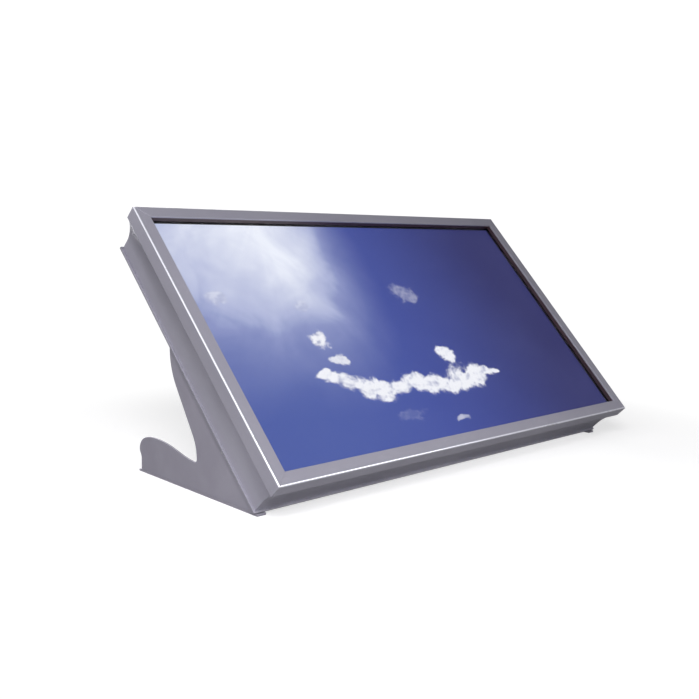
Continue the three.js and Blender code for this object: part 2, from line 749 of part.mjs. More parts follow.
function buildScrews(slope) {
  const reach = 14;
  const facingBack = (name, place, seat) => {
    const screw = mesh(name, screwGeometry(screwHeadRadius, screwHead, screwShank, reach), steel);
    screw.rotation.x = Math.PI;
    screw.position.set(place[0], place[1], -(seat + gap));
    slope.add(screw);
  };
  coverScrewPlaces.forEach((place, i) => facingBack(`cover_screw_${i + 1}`, place, coverBack));
  legScrewPlaces.forEach((row, side) => row.forEach((place, i) =>
    facingBack(`leg_screw_${side === 0 ? "left" : "right"}_${i + 1}`, place, legFront + legThickness)));
}

const barDepth = coverBack + barStandOff + barRadius;

function buildCrossBar(slope) {
  const half = legFace - legThickness - gap;
  const bore = barScrewShank + gap;
  const along = new THREE.CylinderGeometry(barRadius, barRadius, 2 * half, 20).rotateZ(Math.PI / 2);
  const threads = [-1, 1].map((side) =>
    new THREE.CylinderGeometry(bore, bore, 2 * barThread, 12)
      .rotateZ(Math.PI / 2)
      .translate(side * half, 0, 0));
  const bar = mesh("cross_bar", cut(along, threads), steel);
  bar.position.set(0, barUp, -barDepth);
  slope.add(bar);
  for (const [place, side] of [["left", -1], ["right", 1]]) {
    const shape = screwGeometry(barScrewHead, 1.4, barScrewShank, barThread + 2);
    const screw = mesh(`cross_bar_screw_${place}`, shape, steel);
    screw.rotation.y = (side * Math.PI) / 2;
    screw.position.set(side * (legFace + gap), barUp, -barDepth);
    slope.add(screw);
  }
}

// ---------------------------------------------------------------- legs

// The slope's frame seen from the side: across and depth become back and height above the floor.
const behind = (up, depth) => up * Math.cos(tilt) + depth * Math.sin(tilt);
const above = (up, depth) => up * Math.sin(tilt) - depth * Math.cos(tilt) + drop;
const upSlope = (back, depth) => (back - depth * Math.sin(tilt)) / Math.cos(tilt);

// Side outline of a leg, back from the bezel's lowest edge and up from the floor.
function legOutline() {
  const base = footThickness + gap;
  const toeUp = (base - drop + legFront * Math.cos(tilt)) / Math.sin(tilt);
  const peakUp = upSlope(legTop, legFront);
  const sweepStart = above(peakUp, legFront) - legTopDrop;
  const bends = upperSweepRadius + lowerSweepRadius;
  const straight = (legTop - throat - bends * (1 - Math.cos(sweep))) / Math.sin(sweep);
  const throatHeight = sweepStart - bends * Math.sin(sweep) - straight * Math.cos(sweep);
  const lowerCentre = throat + lowerSweepRadius;
  const notchFloor = throatHeight - notchRadius;
  const notchEnd = throat + notchRadius;
  const outline = new THREE.Shape();
  outline.moveTo(behind(toeUp, legFront), base);
  outline.lineTo(heel, base);
  outline.lineTo(heel, heelHeight);
  outline.bezierCurveTo(heel, heelHeight + 11, noseAt, noseHeight - 7, noseAt, noseHeight);
  outline.bezierCurveTo(noseAt, noseHeight + 19, humpAt + 38, humpHeight, humpAt, humpHeight);
  outline.bezierCurveTo(humpAt - 60, humpHeight, notchEnd + 45, notchFloor, notchEnd, notchFloor);
  outline.absarc(notchEnd, throatHeight, notchRadius, -Math.PI / 2, -Math.PI, true);
  outline.absarc(lowerCentre, throatHeight, lowerSweepRadius, Math.PI, Math.PI - sweep, true);
  outline.absarc(legTop - upperSweepRadius, sweepStart, upperSweepRadius, -sweep, 0);
  outline.lineTo(legTop, above(peakUp, legFront));
  return { outline, toeUp, peakUp };
}

function legGeometry() {
  const { outline, toeUp, peakUp } = legOutline();
  const base = footThickness + gap;
  const plate = across(prism(outline, legThickness)).translate(-legFace, 0, 0);

  const inner = -legFace + legThickness;
  const flange = block(inner - 1, inner + legFlange - legThickness, toeUp + legThickness, peakUp - 3,
    -legFront - legThickness, -legFront);
  const barRoom = block(inner, inner + legFlange, barUp - barRadius - 2, barUp + barRadius + 2,
    -legFront - legThickness - 1, -legFront + 1);
  const holes = legScrewPlaces[0].map(([u, v]) =>
    rod(screwShank + slack / 2, u, v, legFront - 5, legFront + 12, 12));
  const seat = cut(flange, [barRoom, ...holes]);
  seat.rotateX(tilt).translate(0, 0, drop);

  const foot = block(inner - 1, inner + legSole - legThickness, behind(toeUp, legFront) + legThickness * 2,
    heel, base, base + legThickness);
  const holeRadius = barScrewShank + gap;
  const screwHole = new THREE.CylinderGeometry(holeRadius, holeRadius, 3 * legThickness, 16);
  screwHole.rotateZ(Math.PI / 2).translate(-legFace, behind(barUp, barDepth), above(barUp, barDepth));
  return cut(joined(plate, seat, foot), [screwHole]);
}

function buildLegs(stand) {
  const leg = legGeometry();
  const mirrored = toGeometry(toSolid(leg).mirror([1, 0, 0]));
  stand.add(mesh("left_leg", leg, satinAluminium));
  stand.add(mesh("right_leg", mirrored, satinAluminium));
  for (const [place, side] of [["left", -1], ["right", 1]]) {
    const plate = new THREE.BoxGeometry(footWidth, footLength, footThickness);
    const foot = mesh(`${place}_foot_plate`, plate, brushedPlate);
    foot.position.set(side * (legFace - footWidth / 2), footFront + footLength / 2, footThickness / 2);
    stand.add(foot);
  }
}

// ---------------------------------------------------------------- assembly

const kiosk = new THREE.Group();
const slope = new THREE.Group();
slope.rotation.x = tilt;
slope.position.z = drop;
buildRails(slope);
buildCornerKeys(slope);
buildTouchBars(slope);
buildDisplay(slope);
buildBrackets(slope);
buildElectronics(slope);
buildFans(slope);
buildRearCover(slope);
buildDoor(slope);
buildLock(slope);
buildSockets(slope);
buildSwitch(slope);
buildScrews(slope);
buildCrossBar(slope);
kiosk.add(slope);
buildLegs(kiosk);

// The origin goes to the middle of the outer box, on the floor.
const frontEdge = behind(bezelEdgeRadius, bezelEdgeRadius) - bezelEdgeRadius;
const rearEdge = behind(frameHeight - coverInset, coverBack);
kiosk.position.y = -(frontEdge + rearEdge) / 2;

export default kiosk;
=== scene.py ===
# Touchscreen kiosk: the finish and the fine shapes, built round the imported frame.
# Sizes in the dictionaries are millimetres; Blender's own units are metres.

import math

import bmesh
import bpy
from mathutils import Matrix, Vector


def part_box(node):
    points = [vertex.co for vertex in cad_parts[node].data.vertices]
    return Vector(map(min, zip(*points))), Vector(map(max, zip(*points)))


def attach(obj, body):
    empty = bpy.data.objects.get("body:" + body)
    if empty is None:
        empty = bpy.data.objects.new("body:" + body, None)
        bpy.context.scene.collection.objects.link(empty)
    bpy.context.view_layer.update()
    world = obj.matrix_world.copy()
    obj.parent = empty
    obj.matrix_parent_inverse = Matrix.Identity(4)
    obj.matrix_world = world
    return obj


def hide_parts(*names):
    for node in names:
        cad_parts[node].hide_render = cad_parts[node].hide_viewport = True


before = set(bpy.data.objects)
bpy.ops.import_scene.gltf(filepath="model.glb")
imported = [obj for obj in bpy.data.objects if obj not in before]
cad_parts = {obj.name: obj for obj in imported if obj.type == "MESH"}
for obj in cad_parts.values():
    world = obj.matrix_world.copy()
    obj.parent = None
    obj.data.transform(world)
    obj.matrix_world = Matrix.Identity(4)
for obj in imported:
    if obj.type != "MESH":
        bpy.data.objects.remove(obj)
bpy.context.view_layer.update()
mm = 0.001


# ---------------- shared sizes

kiosk = {
    "tilt": math.radians(45),
    "width": 1072,  # outside of the bezel
    "height": 626,
    "face": 26,  # front face of the bezel
    "lip": 3.5,  # its thickness where it meets the screen
    "bezelDepth": 30.6,
    "fit": 0.3,  # gap between pieces that touch
    "glassCover": 12,
    "glassDepth": 13,
    "glassBack": 17,
    "casingInset": 13.5,
    "casingDepth": 101,
    "coverInset": 9.2,
    "coverFront": 101.3,
    "coverBack": 105,
    "legThickness": 4,
    "legInset": 14.5,
    "doorUp": 435,  # middle of the service door
    "barUp": 139.4,
    "barDepth": 111.5,
    "barRadius": 5,
}
kiosk["legFace"] = kiosk["width"] / 2 - kiosk["legInset"]
kiosk["legFront"] = kiosk["coverBack"] + kiosk["fit"]


# The slope's own frame: x across, y up the slope from the bezel's lower edge, z out of the screen.
def makeSlopeMatrix():
    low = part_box("front_glass")[0]
    glassEdge = kiosk["face"] - kiosk["glassCover"]
    turned = Matrix.Rotation(kiosk["tilt"], 4, "X")
    inner = turned @ (Vector((0, glassEdge, -kiosk["glassBack"])) * mm)
    outer = turned @ (Vector((0, glassEdge, -kiosk["glassDepth"])) * mm)
    origin = Vector((0, low.y - outer.y, low.z - inner.z))
    return Matrix.Translation(origin) @ turned


slopeMatrix = makeSlopeMatrix()


def slopeAt(across, up, depth):
    return slopeMatrix @ Matrix.Translation(Vector((across, up, -depth)) * mm)


def tone(red, green, blue):  # screen colour 0-255 to the linear value that Blender uses
    def linear(value):
        value /= 255
        return value / 12.92 if value <= 0.04045 else ((value + 0.055) / 1.055) ** 2.4
    return (linear(red), linear(green), linear(blue), 1.0)


# ---------------- camera

cameraSetup = {
    "place": (-1.46325, -1.39562, 0.50665),
    "yaw": math.radians(45.57),
    "pitch": math.radians(9.21),
    "roll": math.radians(-1.84),
    "lens": 48.143,
    "sensor": 36,
    "shift": (-0.0513, 0.0293),
}


def makeCamera():
    yaw, pitch, roll = cameraSetup["yaw"], cameraSetup["pitch"], cameraSetup["roll"]
    ahead = Vector((math.sin(yaw) * math.cos(pitch), math.cos(yaw) * math.cos(pitch), -math.sin(pitch)))
    level = Vector((math.cos(yaw), -math.sin(yaw), 0))
    below = ahead.cross(level)
    right = math.cos(roll) * level + math.sin(roll) * below
    down = math.cos(roll) * below - math.sin(roll) * level
    data = bpy.data.cameras.new("camera")
    data.lens = cameraSetup["lens"]
    data.sensor_width = cameraSetup["sensor"]
    data.shift_x, data.shift_y = cameraSetup["shift"]
    camera = bpy.data.objects.new("camera", data)
    turn = Matrix((right, -down, -ahead)).transposed().to_4x4()
    camera.matrix_world = Matrix.Translation(cameraSetup["place"]) @ turn
    bpy.context.collection.objects.link(camera)
    bpy.context.scene.camera = camera


makeCamera()
print("camera placed")


# ---------------- node helpers

def addNode(tree, kind, inputs=None, **settings):
    node = tree.nodes.new(kind)
    for key, value in settings.items():
        setattr(node, key, value)
    for key, value in (inputs or {}).items():
        if isinstance(value, bpy.types.NodeSocket):
            tree.links.new(value, node.inputs[key])
        else:
            node.inputs[key].default_value = value
    return node


def calc(tree, operation, first, second=0.0, third=0.0):
    inputs = {0: first, 1: second, 2: third}
    return addNode(tree, "ShaderNodeMath", inputs, operation=operation).outputs[0]


def mixColor(tree, share, first, second, blend="MIX"):
    inputs = {0: share, 6: first, 7: second}
    return addNode(tree, "ShaderNodeMix", inputs, data_type="RGBA", blend_type=blend).outputs[2]


def remap(tree, value, low, high, newLow=0.0, newHigh=1.0, smooth=False):
    inputs = {"Value": value, "From Min": low, "From Max": high, "To Min": newLow, "To Max": newHigh}
    kind = "SMOOTHSTEP" if smooth else "LINEAR"
    return addNode(tree, "ShaderNodeMapRange", inputs, interpolation_type=kind).outputs[0]


def noise(tree, vector, scale, detail=3.0, rough=0.5, twist=0.0):
    inputs = {"Vector": vector, "Scale": scale, "Detail": detail, "Roughness": rough, "Distortion": twist}
    return addNode(tree, "ShaderNodeTexNoise", inputs).outputs[0]


def makeGroup(name, inputs, outputs):
    group = bpy.data.node_groups.new(name, "ShaderNodeTree")
    for label, value in inputs.items():
        kind = "NodeSocketVector" if value is None else "NodeSocketFloat"
        socket = group.interface.new_socket(name=label, in_out="INPUT", socket_type=kind)
        if value is not None:
            socket.default_value = value
    for label in outputs:
        group.interface.new_socket(name=label, in_out="OUTPUT", socket_type="NodeSocketFloat")
    start = group.nodes.new("NodeGroupInput")
    end = group.nodes.new("NodeGroupOutput")
    return group, start.outputs, end.inputs


def useGroup(tree, group, inputs):
    node = tree.nodes.new("ShaderNodeGroup")
    node.node_tree = group
    for label, value in inputs.items():
        if isinstance(value, bpy.types.NodeSocket):
            tree.links.new(value, node.inputs[label])
        else:
            node.inputs[label].default_value = value
    return node.outputs


# ---------------- shared effects

# Fine lines that run along the piece's own X.
def makeBrushedGrain():
    inputs = {"Vector": None, "Fineness": 2600.0, "Stretch": 60.0}
    group, given, made = makeGroup("brushedGrain", inputs, ["Value"])
    along = calc(group, "DIVIDE", 1.0, given["Stretch"])
    scale = addNode(group, "ShaderNodeCombineXYZ", {0: along, 1: 1.0, 2: 1.0}).outputs[0]
    parts = {0: given["Vector"], 1: scale}
    stretched = addNode(group, "ShaderNodeVectorMath", parts, operation="MULTIPLY").outputs[0]
    lines = noise(group, stretched, given["Fineness"], 3.0, 0.62)
    group.links.new(lines, made["Value"])
    return group


# Small even grains, for a blasted, moulded or powder-coated surface.
def makeFineGrain():
    group, given, made = makeGroup("fineGrain", {"Vector": None, "Fineness": 1500.0}, ["Value"])
    grains = noise(group, given["Vector"], given["Fineness"], 2.0, 0.55)
    group.links.new(grains, made["Value"])
    return group


# Cloudy change of tone over a hand's breadth.
def makeUnevenTone():
    group, given, made = makeGroup("unevenTone", {"Vector": None, "Scale": 6.0}, ["Value"])
    wide = noise(group, given["Vector"], given["Scale"], 4.0, 0.55, 0.4)
    group.links.new(remap(group, wide, 0.3, 0.7, smooth=True), made["Value"])
    return group


# Bright rubbed line along edges, broken up so that it comes and goes.
def makeEdgeRub():
    inputs = {"Vector": None, "Width": 0.0008, "Breaks": 90.0}
    group, given, made = makeGroup("edgeRub", inputs, ["Mask"])
    rounded = addNode(group, "ShaderNodeBevel", {"Radius": given["Width"]}, samples=4).outputs[0]
    normal = addNode(group, "ShaderNodeNewGeometry").outputs["Normal"]
    parts = {0: rounded, 1: normal}
    facing = addNode(group, "ShaderNodeVectorMath", parts, operation="DOT_PRODUCT").outputs["Value"]
    edge = remap(group, facing, 0.995, 0.86, smooth=True)
    breaks = remap(group, noise(group, given["Vector"], given["Breaks"], 4.0, 0.6), 0.42, 0.62, 0.25, 1.0)
    group.links.new(calc(group, "MULTIPLY", edge, breaks), made["Mask"])
    return group


# Thin scratches in a few directions.
def makeHairScratches():
    inputs = {"Vector": None, "Scale": 30.0, "Share": 0.5}
    group, given, made = makeGroup("hairScratches", inputs, ["Mask"])
    total = None
    for angle, stretch in ((0.3, 14.0), (1.35, 18.0), (2.4, 11.0)):
        turned = {"Vector": given["Vector"], "Rotation": (0.4 * angle, 0.7 * angle, angle)}
        turned["Scale"] = (1.0, stretch, stretch)
        vector = addNode(group, "ShaderNodeMapping", turned).outputs[0]
        lines = noise(group, vector, given["Scale"], 1.0, 0.4, 0.15)
        middle = calc(group, "ABSOLUTE", calc(group, "SUBTRACT", lines, 0.5))
        line = remap(group, middle, 0.006, 0.0, smooth=True)
        total = line if total is None else calc(group, "MAXIMUM", total, line)
    patch = remap(group, noise(group, given["Vector"], 9.0, 2.0), 0.5, 0.62)
    shown = calc(group, "MULTIPLY", calc(group, "MULTIPLY", total, patch), given["Share"])
    group.links.new(shown, made["Mask"])
    return group


# Dust that settles on faces that look up, and in patches.
def makeSettledDust():
    group, given, made = makeGroup("settledDust", {"Vector": None, "Amount": 0.3}, ["Mask"])
    normal = addNode(group, "ShaderNodeNewGeometry").outputs["Normal"]
    height = addNode(group, "ShaderNodeSeparateXYZ", {0: normal}).outputs[2]
    upward = remap(group, height, 0.1, 1.0, smooth=True)
    patches = remap(group, noise(group, given["Vector"], 14.0, 5.0, 0.6), 0.35, 0.75, 0.2, 1.0)
    specks = remap(group, noise(group, given["Vector"], 900.0, 1.0), 0.62, 0.72, 0.35, 1.0)
    both = calc(group, "MULTIPLY", calc(group, "MULTIPLY", patches, specks), upward)
    group.links.new(calc(group, "MULTIPLY", both, given["Amount"]), made["Mask"])
    return group


brushedGrain = makeBrushedGrain()
fineGrain = makeFineGrain()
unevenTone = makeUnevenTone()
edgeRub = makeEdgeRub()
hairScratches = makeHairScratches()
settledDust = makeSettledDust()
print("shared effects made")


# ---------------- materials

def newMaterial(name, **values):
    material = bpy.data.materials.new(name)
    material.use_nodes = True
    tree = material.node_tree
    shader = tree.nodes["Principled BSDF"]
    for label, value in values.items():
        shader.inputs[label.replace("_", " ")].default_value = value
    vector = addNode(tree, "ShaderNodeTexCoord").outputs["Object"]
    return material, tree, shader, vector


def feed(tree, shader, color=None, roughness=None, height=None, bumpDepth=0.00002, metallic=None):
    if color is not None:
        tree.links.new(color, shader.inputs["Base Color"])
    if roughness is not None:
        tree.links.new(roughness, shader.inputs["Roughness"])
    if metallic is not None:
        tree.links.new(metallic, shader.inputs["Metallic"])
    if height is not None:
        inputs = {"Strength": 1.0, "Distance": bumpDepth, "Height": height}
        bump = addNode(tree, "ShaderNodeBump", inputs)
        tree.links.new(bump.outputs[0], shader.inputs["Normal"])


metalLooks = {
    "frameFinish": {
        "color": tone(176, 174, 187), "dark": tone(160, 158, 172), "rubbed": tone(212, 210, 220),
        "metallic": 0.4, "smooth": 0.34, "rough": 0.44, "fineness": 2400, "stretch": 40,
        "grainDepth": 0.000012, "wear": 0.3, "dust": 0.10,
        # the rounded front edge is burnished, and its colour is lightened as a painted highlight: how far that band
        # reaches from the corner, in millimetres
        "band": (3.8, 1.8), "bandColor": tone(226, 226, 235), "bandMetallic": 0.8,
    },
    "coverFinish": {
        "color": tone(170, 168, 180), "dark": tone(150, 148, 160), "rubbed": tone(214, 213, 222),
        "metallic": 0.45, "smooth": 0.34, "rough": 0.48, "fineness": 1900, "stretch": 70,
        "grainDepth": 0.00002, "wear": 0.7, "dust": 0.16,
    },
    "brightSteel": {
        "color": tone(196, 196, 199), "dark": tone(160, 160, 163), "rubbed": tone(232, 232, 234),
        "metallic": 1.0, "smooth": 0.22, "rough": 0.4, "fineness": 2600, "stretch": 12,
        "grainDepth": 0.00001, "wear": 0.5, "dust": 0.06,
    },
    "innerSheet": {
        "color": tone(184, 187, 186), "dark": tone(150, 153, 153), "rubbed": tone(222, 224, 223),
        "metallic": 0.9, "smooth": 0.3, "rough": 0.52, "fineness": 420, "stretch": 1.5,
        "grainDepth": 0.00002, "wear": 0.6, "dust": 0.3,
    },
    "castKey": {
        "color": tone(128, 129, 133), "dark": tone(98, 99, 103), "rubbed": tone(178, 179, 182),
        "metallic": 0.85, "smooth": 0.48, "rough": 0.66, "fineness": 700, "stretch": 1,
        "grainDepth": 0.00008, "wear": 0.8, "dust": 0.2,
    },
    "lockBrass": {
        "color": tone(190, 152, 86), "dark": tone(150, 114, 58), "rubbed": tone(232, 204, 148),
        "metallic": 1.0, "smooth": 0.2, "rough": 0.4, "fineness": 3000, "stretch": 6,
        "grainDepth": 0.00001, "wear": 0.8, "dust": 0.05,
    },
}


def makeMetal(name):
    look = metalLooks[name]
    material, tree, shader, vector = newMaterial(name, Metallic=look["metallic"])
    inputs = {"Vector": vector, "Fineness": look["fineness"], "Stretch": look["stretch"]}
    lines = useGroup(tree, brushedGrain, inputs)["Value"]
    patch = useGroup(tree, unevenTone, {"Vector": vector, "Scale": 7.0})["Value"]
    rub = useGroup(tree, edgeRub, {"Vector": vector, "Width": 0.0007, "Breaks": 60.0})["Mask"]
    scratch = useGroup(tree, hairScratches, {"Vector": vector, "Scale": 26.0, "Share": 0.35})["Mask"]
    dust = useGroup(tree, settledDust, {"Vector": vector, "Amount": look["dust"]})["Mask"]
    share = calc(tree, "ADD", calc(tree, "MULTIPLY", lines, 0.6), calc(tree, "MULTIPLY", patch, 0.35))
    color = mixColor(tree, share, look["dark"], look["color"])
    color = mixColor(tree, calc(tree, "MULTIPLY", rub, look["wear"]), color, look["rubbed"])
    color = mixColor(tree, scratch, color, look["rubbed"])
    color = mixColor(tree, dust, color, tone(176, 172, 166))
    rough = remap(tree, share, 0.2, 0.8, look["rough"], look["smooth"])
    rough = calc(tree, "SUBTRACT", rough, calc(tree, "MULTIPLY", rub, 0.08))
    rough = calc(tree, "ADD", rough, calc(tree, "MULTIPLY", dust, 0.5))
    height = calc(tree, "SUBTRACT", lines, calc(tree, "MULTIPLY", scratch, 0.8))
    metallic = None
    if "band" in look:  # a rail's own Y runs in from its outer edge, and Z out of its front face
        spread = addNode(tree, "ShaderNodeSeparateXYZ", {0: vector}).outputs
        past = calc(tree, "SUBTRACT", spread[1], spread[2])
        outer, inner = look["band"]
        # painted highlight: the band along the rounded front edge gets a lighter colour; its lower roughness and higher
        # metallic are the burnished edge's own
        band = remap(tree, past, outer * mm, inner * mm, smooth=True)
        color = mixColor(tree, band, color, look["bandColor"])
        rough = calc(tree, "SUBTRACT", rough, calc(tree, "MULTIPLY", band, 0.1))
        metallic = remap(tree, band, 0.0, 1.0, look["metallic"], look["bandMetallic"])
    feed(tree, shader, color, rough, height, look["grainDepth"], metallic)
    return material


legLook = {
    "color": tone(164, 161, 174), "dark": tone(150, 147, 160), "rubbed": tone(198, 196, 206),
    "metallic": 0.3,
}


def makeLegFinish():  # satin powder coat over steel: a soft skin with small ripples
    material, tree, shader, vector = newMaterial("legFinish", Metallic=legLook["metallic"])
    ripple = useGroup(tree, fineGrain, {"Vector": vector, "Fineness": 650.0})["Value"]
    flake = useGroup(tree, fineGrain, {"Vector": vector, "Fineness": 3800.0})["Value"]
    patch = useGroup(tree, unevenTone, {"Vector": vector, "Scale": 8.0})["Value"]
    rub = useGroup(tree, edgeRub, {"Vector": vector, "Width": 0.0009, "Breaks": 45.0})["Mask"]
    scratch = useGroup(tree, hairScratches, {"Vector": vector, "Scale": 22.0, "Share": 0.25})["Mask"]
    dust = useGroup(tree, settledDust, {"Vector": vector, "Amount": 0.15})["Mask"]
    share = calc(tree, "ADD", calc(tree, "MULTIPLY", flake, 0.5), calc(tree, "MULTIPLY", patch, 0.5))
    color = mixColor(tree, share, legLook["dark"], legLook["color"])
    color = mixColor(tree, calc(tree, "MULTIPLY", rub, 0.55), color, legLook["rubbed"])
    color = mixColor(tree, scratch, color, legLook["rubbed"])
    color = mixColor(tree, dust, color, tone(178, 174, 168))
    rough = remap(tree, share, 0.25, 0.75, 0.52, 0.42)
    rough = calc(tree, "ADD", rough, calc(tree, "MULTIPLY", dust, 0.4))
    height = calc(tree, "ADD", ripple, calc(tree, "MULTIPLY", flake, 0.25))
    feed(tree, shader, color, rough, height, 0.00005)
    return material


plasticLooks = {
    "blackPlastic": {"color": tone(34, 34, 37), "dark": tone(24, 24, 26), "worn": tone(74, 74, 78),
                     "smooth": 0.4, "rough": 0.58, "fineness": 1300, "grainDepth": 0.00004, "dust": 0.35},
    "blackCase": {"color": tone(40, 40, 43), "dark": tone(30, 30, 33), "worn": tone(96, 96, 100),
                  "smooth": 0.36, "rough": 0.5, "fineness": 2200, "grainDepth": 0.00002, "dust": 0.4},
    "gasketRubber": {"color": tone(38, 38, 40), "dark": tone(26, 26, 28), "worn": tone(62, 62, 64),
                     "smooth": 0.7, "rough": 0.85, "fineness": 900, "grainDepth": 0.00005, "dust": 0.3},
    "darkFilter": {"color": tone(74, 54, 58), "dark": tone(58, 42, 46), "worn": tone(112, 88, 92),
                   "smooth": 0.28, "rough": 0.42, "fineness": 1700, "grainDepth": 0.00002, "dust": 0.12},
}


def makePlastic(name):
    look = plasticLooks[name]
    material, tree, shader, vector = newMaterial(name)
    grain = useGroup(tree, fineGrain, {"Vector": vector, "Fineness": look["fineness"]})["Value"]
    patch = useGroup(tree, unevenTone, {"Vector": vector, "Scale": 11.0})["Value"]
    rub = useGroup(tree, edgeRub, {"Vector": vector, "Width": 0.0005, "Breaks": 120.0})["Mask"]
    dust = useGroup(tree, settledDust, {"Vector": vector, "Amount": look["dust"]})["Mask"]
    share = calc(tree, "ADD", calc(tree, "MULTIPLY", grain, 0.5), calc(tree, "MULTIPLY", patch, 0.5))
    color = mixColor(tree, share, look["dark"], look["color"])
    color = mixColor(tree, calc(tree, "MULTIPLY", rub, 0.5), color, look["worn"])
    color = mixColor(tree, dust, color, tone(150, 146, 140))
    rough = remap(tree, share, 0.25, 0.75, look["rough"], look["smooth"])
    rough = calc(tree, "ADD", rough, calc(tree, "MULTIPLY", dust, 0.35))
    feed(tree, shader, color, rough, grain, look["grainDepth"])
    return material


def makeCoverGlass():  # coated glass with faint touch marks
    values = {"Transmission_Weight": 1.0, "IOR": 1.12, "Base_Color": (0.97, 0.98, 1.0, 1.0)}
    material, tree, shader, vector = newMaterial("coverGlass", **values)
    prints = remap(tree, noise(tree, vector, 16.0, 5.0, 0.6, 0.8), 0.52, 0.7, smooth=True)
    ridges = noise(tree, vector, 420.0, 2.0, 0.5, 1.5)
    marks = calc(tree, "MULTIPLY", prints, ridges)
    feed(tree, shader, roughness=remap(tree, marks, 0.0, 0.6, 0.004, 0.03))
    return material


boardLook = {"mask": tone(28, 84, 52), "track": tone(52, 122, 78), "bare": tone(196, 176, 120)}


def makeCircuitBoard():  # solder mask over etched tracks, with bare pads
    material, tree, shader, vector = newMaterial("circuitBoard")
    cells = {"Vector": vector, "Scale": 260.0, "Randomness": 0.35}
    grid = addNode(tree, "ShaderNodeTexVoronoi", cells, feature="F1", distance="CHEBYCHEV")
    track = remap(tree, grid.outputs["Distance"], 0.42, 0.46)
    pick = addNode(tree, "ShaderNodeSeparateXYZ", {0: grid.outputs["Color"]}).outputs[0]
    near = remap(tree, grid.outputs["Distance"], 0.2, 0.17)
    pad = calc(tree, "MULTIPLY", near, calc(tree, "GREATER_THAN", pick, 0.72))
    grain = useGroup(tree, fineGrain, {"Vector": vector, "Fineness": 1800.0})["Value"]
    dust = useGroup(tree, settledDust, {"Vector": vector, "Amount": 0.25})["Mask"]
    color = mixColor(tree, track, boardLook["mask"], boardLook["track"])
    color = mixColor(tree, pad, color, boardLook["bare"])
    color = mixColor(tree, dust, color, tone(150, 146, 140))
    rough = remap(tree, grain, 0.3, 0.7, 0.24, 0.4)
    height = calc(tree, "ADD", calc(tree, "MULTIPLY", track, 0.5), calc(tree, "MULTIPLY", grain, 0.1))
    feed(tree, shader, color, rough, height, 0.00006, metallic=calc(tree, "MULTIPLY", pad, 0.9))
    return material


# How far a point lies from a puff of cloud: 0 in its middle, 1 on its outline.
def makeCloudPuff():
    inputs = {"Across": 0.0, "Up": 0.0, "Middle Across": 0.0, "Middle Up": 0.0, "Width": 30.0, "Height": 20.0}
    group, given, made = makeGroup("cloudPuff", inputs, ["Away"])
    x = calc(group, "DIVIDE", calc(group, "SUBTRACT", given["Across"], given["Middle Across"]), given["Width"])
    y = calc(group, "DIVIDE", calc(group, "SUBTRACT", given["Up"], given["Middle Up"]), given["Height"])
    away = calc(group, "SQRT", calc(group, "ADD", calc(group, "MULTIPLY", x, x), calc(group, "MULTIPLY", y, y)))
    group.links.new(away, made["Away"])
    return group


cloudPuff = makeCloudPuff()

sky = {
    "left": tone(76, 93, 162),
    "middle": tone(66, 80, 156),
    "right": tone(46, 46, 98),
    "glow": tone(240, 243, 252),
    "haze": tone(160, 168, 208),
    "cloud": tone(244, 244, 248),
    "cloudShade": tone(172, 176, 202),
    "sunAcross": -235,
    "sunUp": 640,
    "sunRight": 125,  # how far the light reaches to each side and down
    "sunLeft": 450,
    "sunDown": 315,
    # middle across, middle up, width, height
    "bank": [
        (-300, 219, 26, 9), (-272, 206, 30, 15), (-238, 190, 34, 19), (-206, 170, 34, 24), (-168, 158, 38, 23),
        (-120, 165, 38, 19), (-72, 172, 40, 23), (-28, 163, 42, 23), (20, 150, 40, 25), (62, 164, 40, 34),
        (104, 164, 40, 26), (150, 169, 40, 15), (184, 169, 28, 8),
    ],
    # and how thick, from 0 to 1
    "puffs": [
        (-258, 299, 24, 27, 1.0), (-244, 246, 26, 13, 0.85), (60, 232, 34, 26, 1.0), (50, 404, 40, 26, 0.3),
        (-445, 414, 30, 22, 0.4), (-252, 382, 26, 20, 0.3), (-8, 66, 24, 9, 0.55), (-140, 96, 40, 14, 0.12),
    ],
}


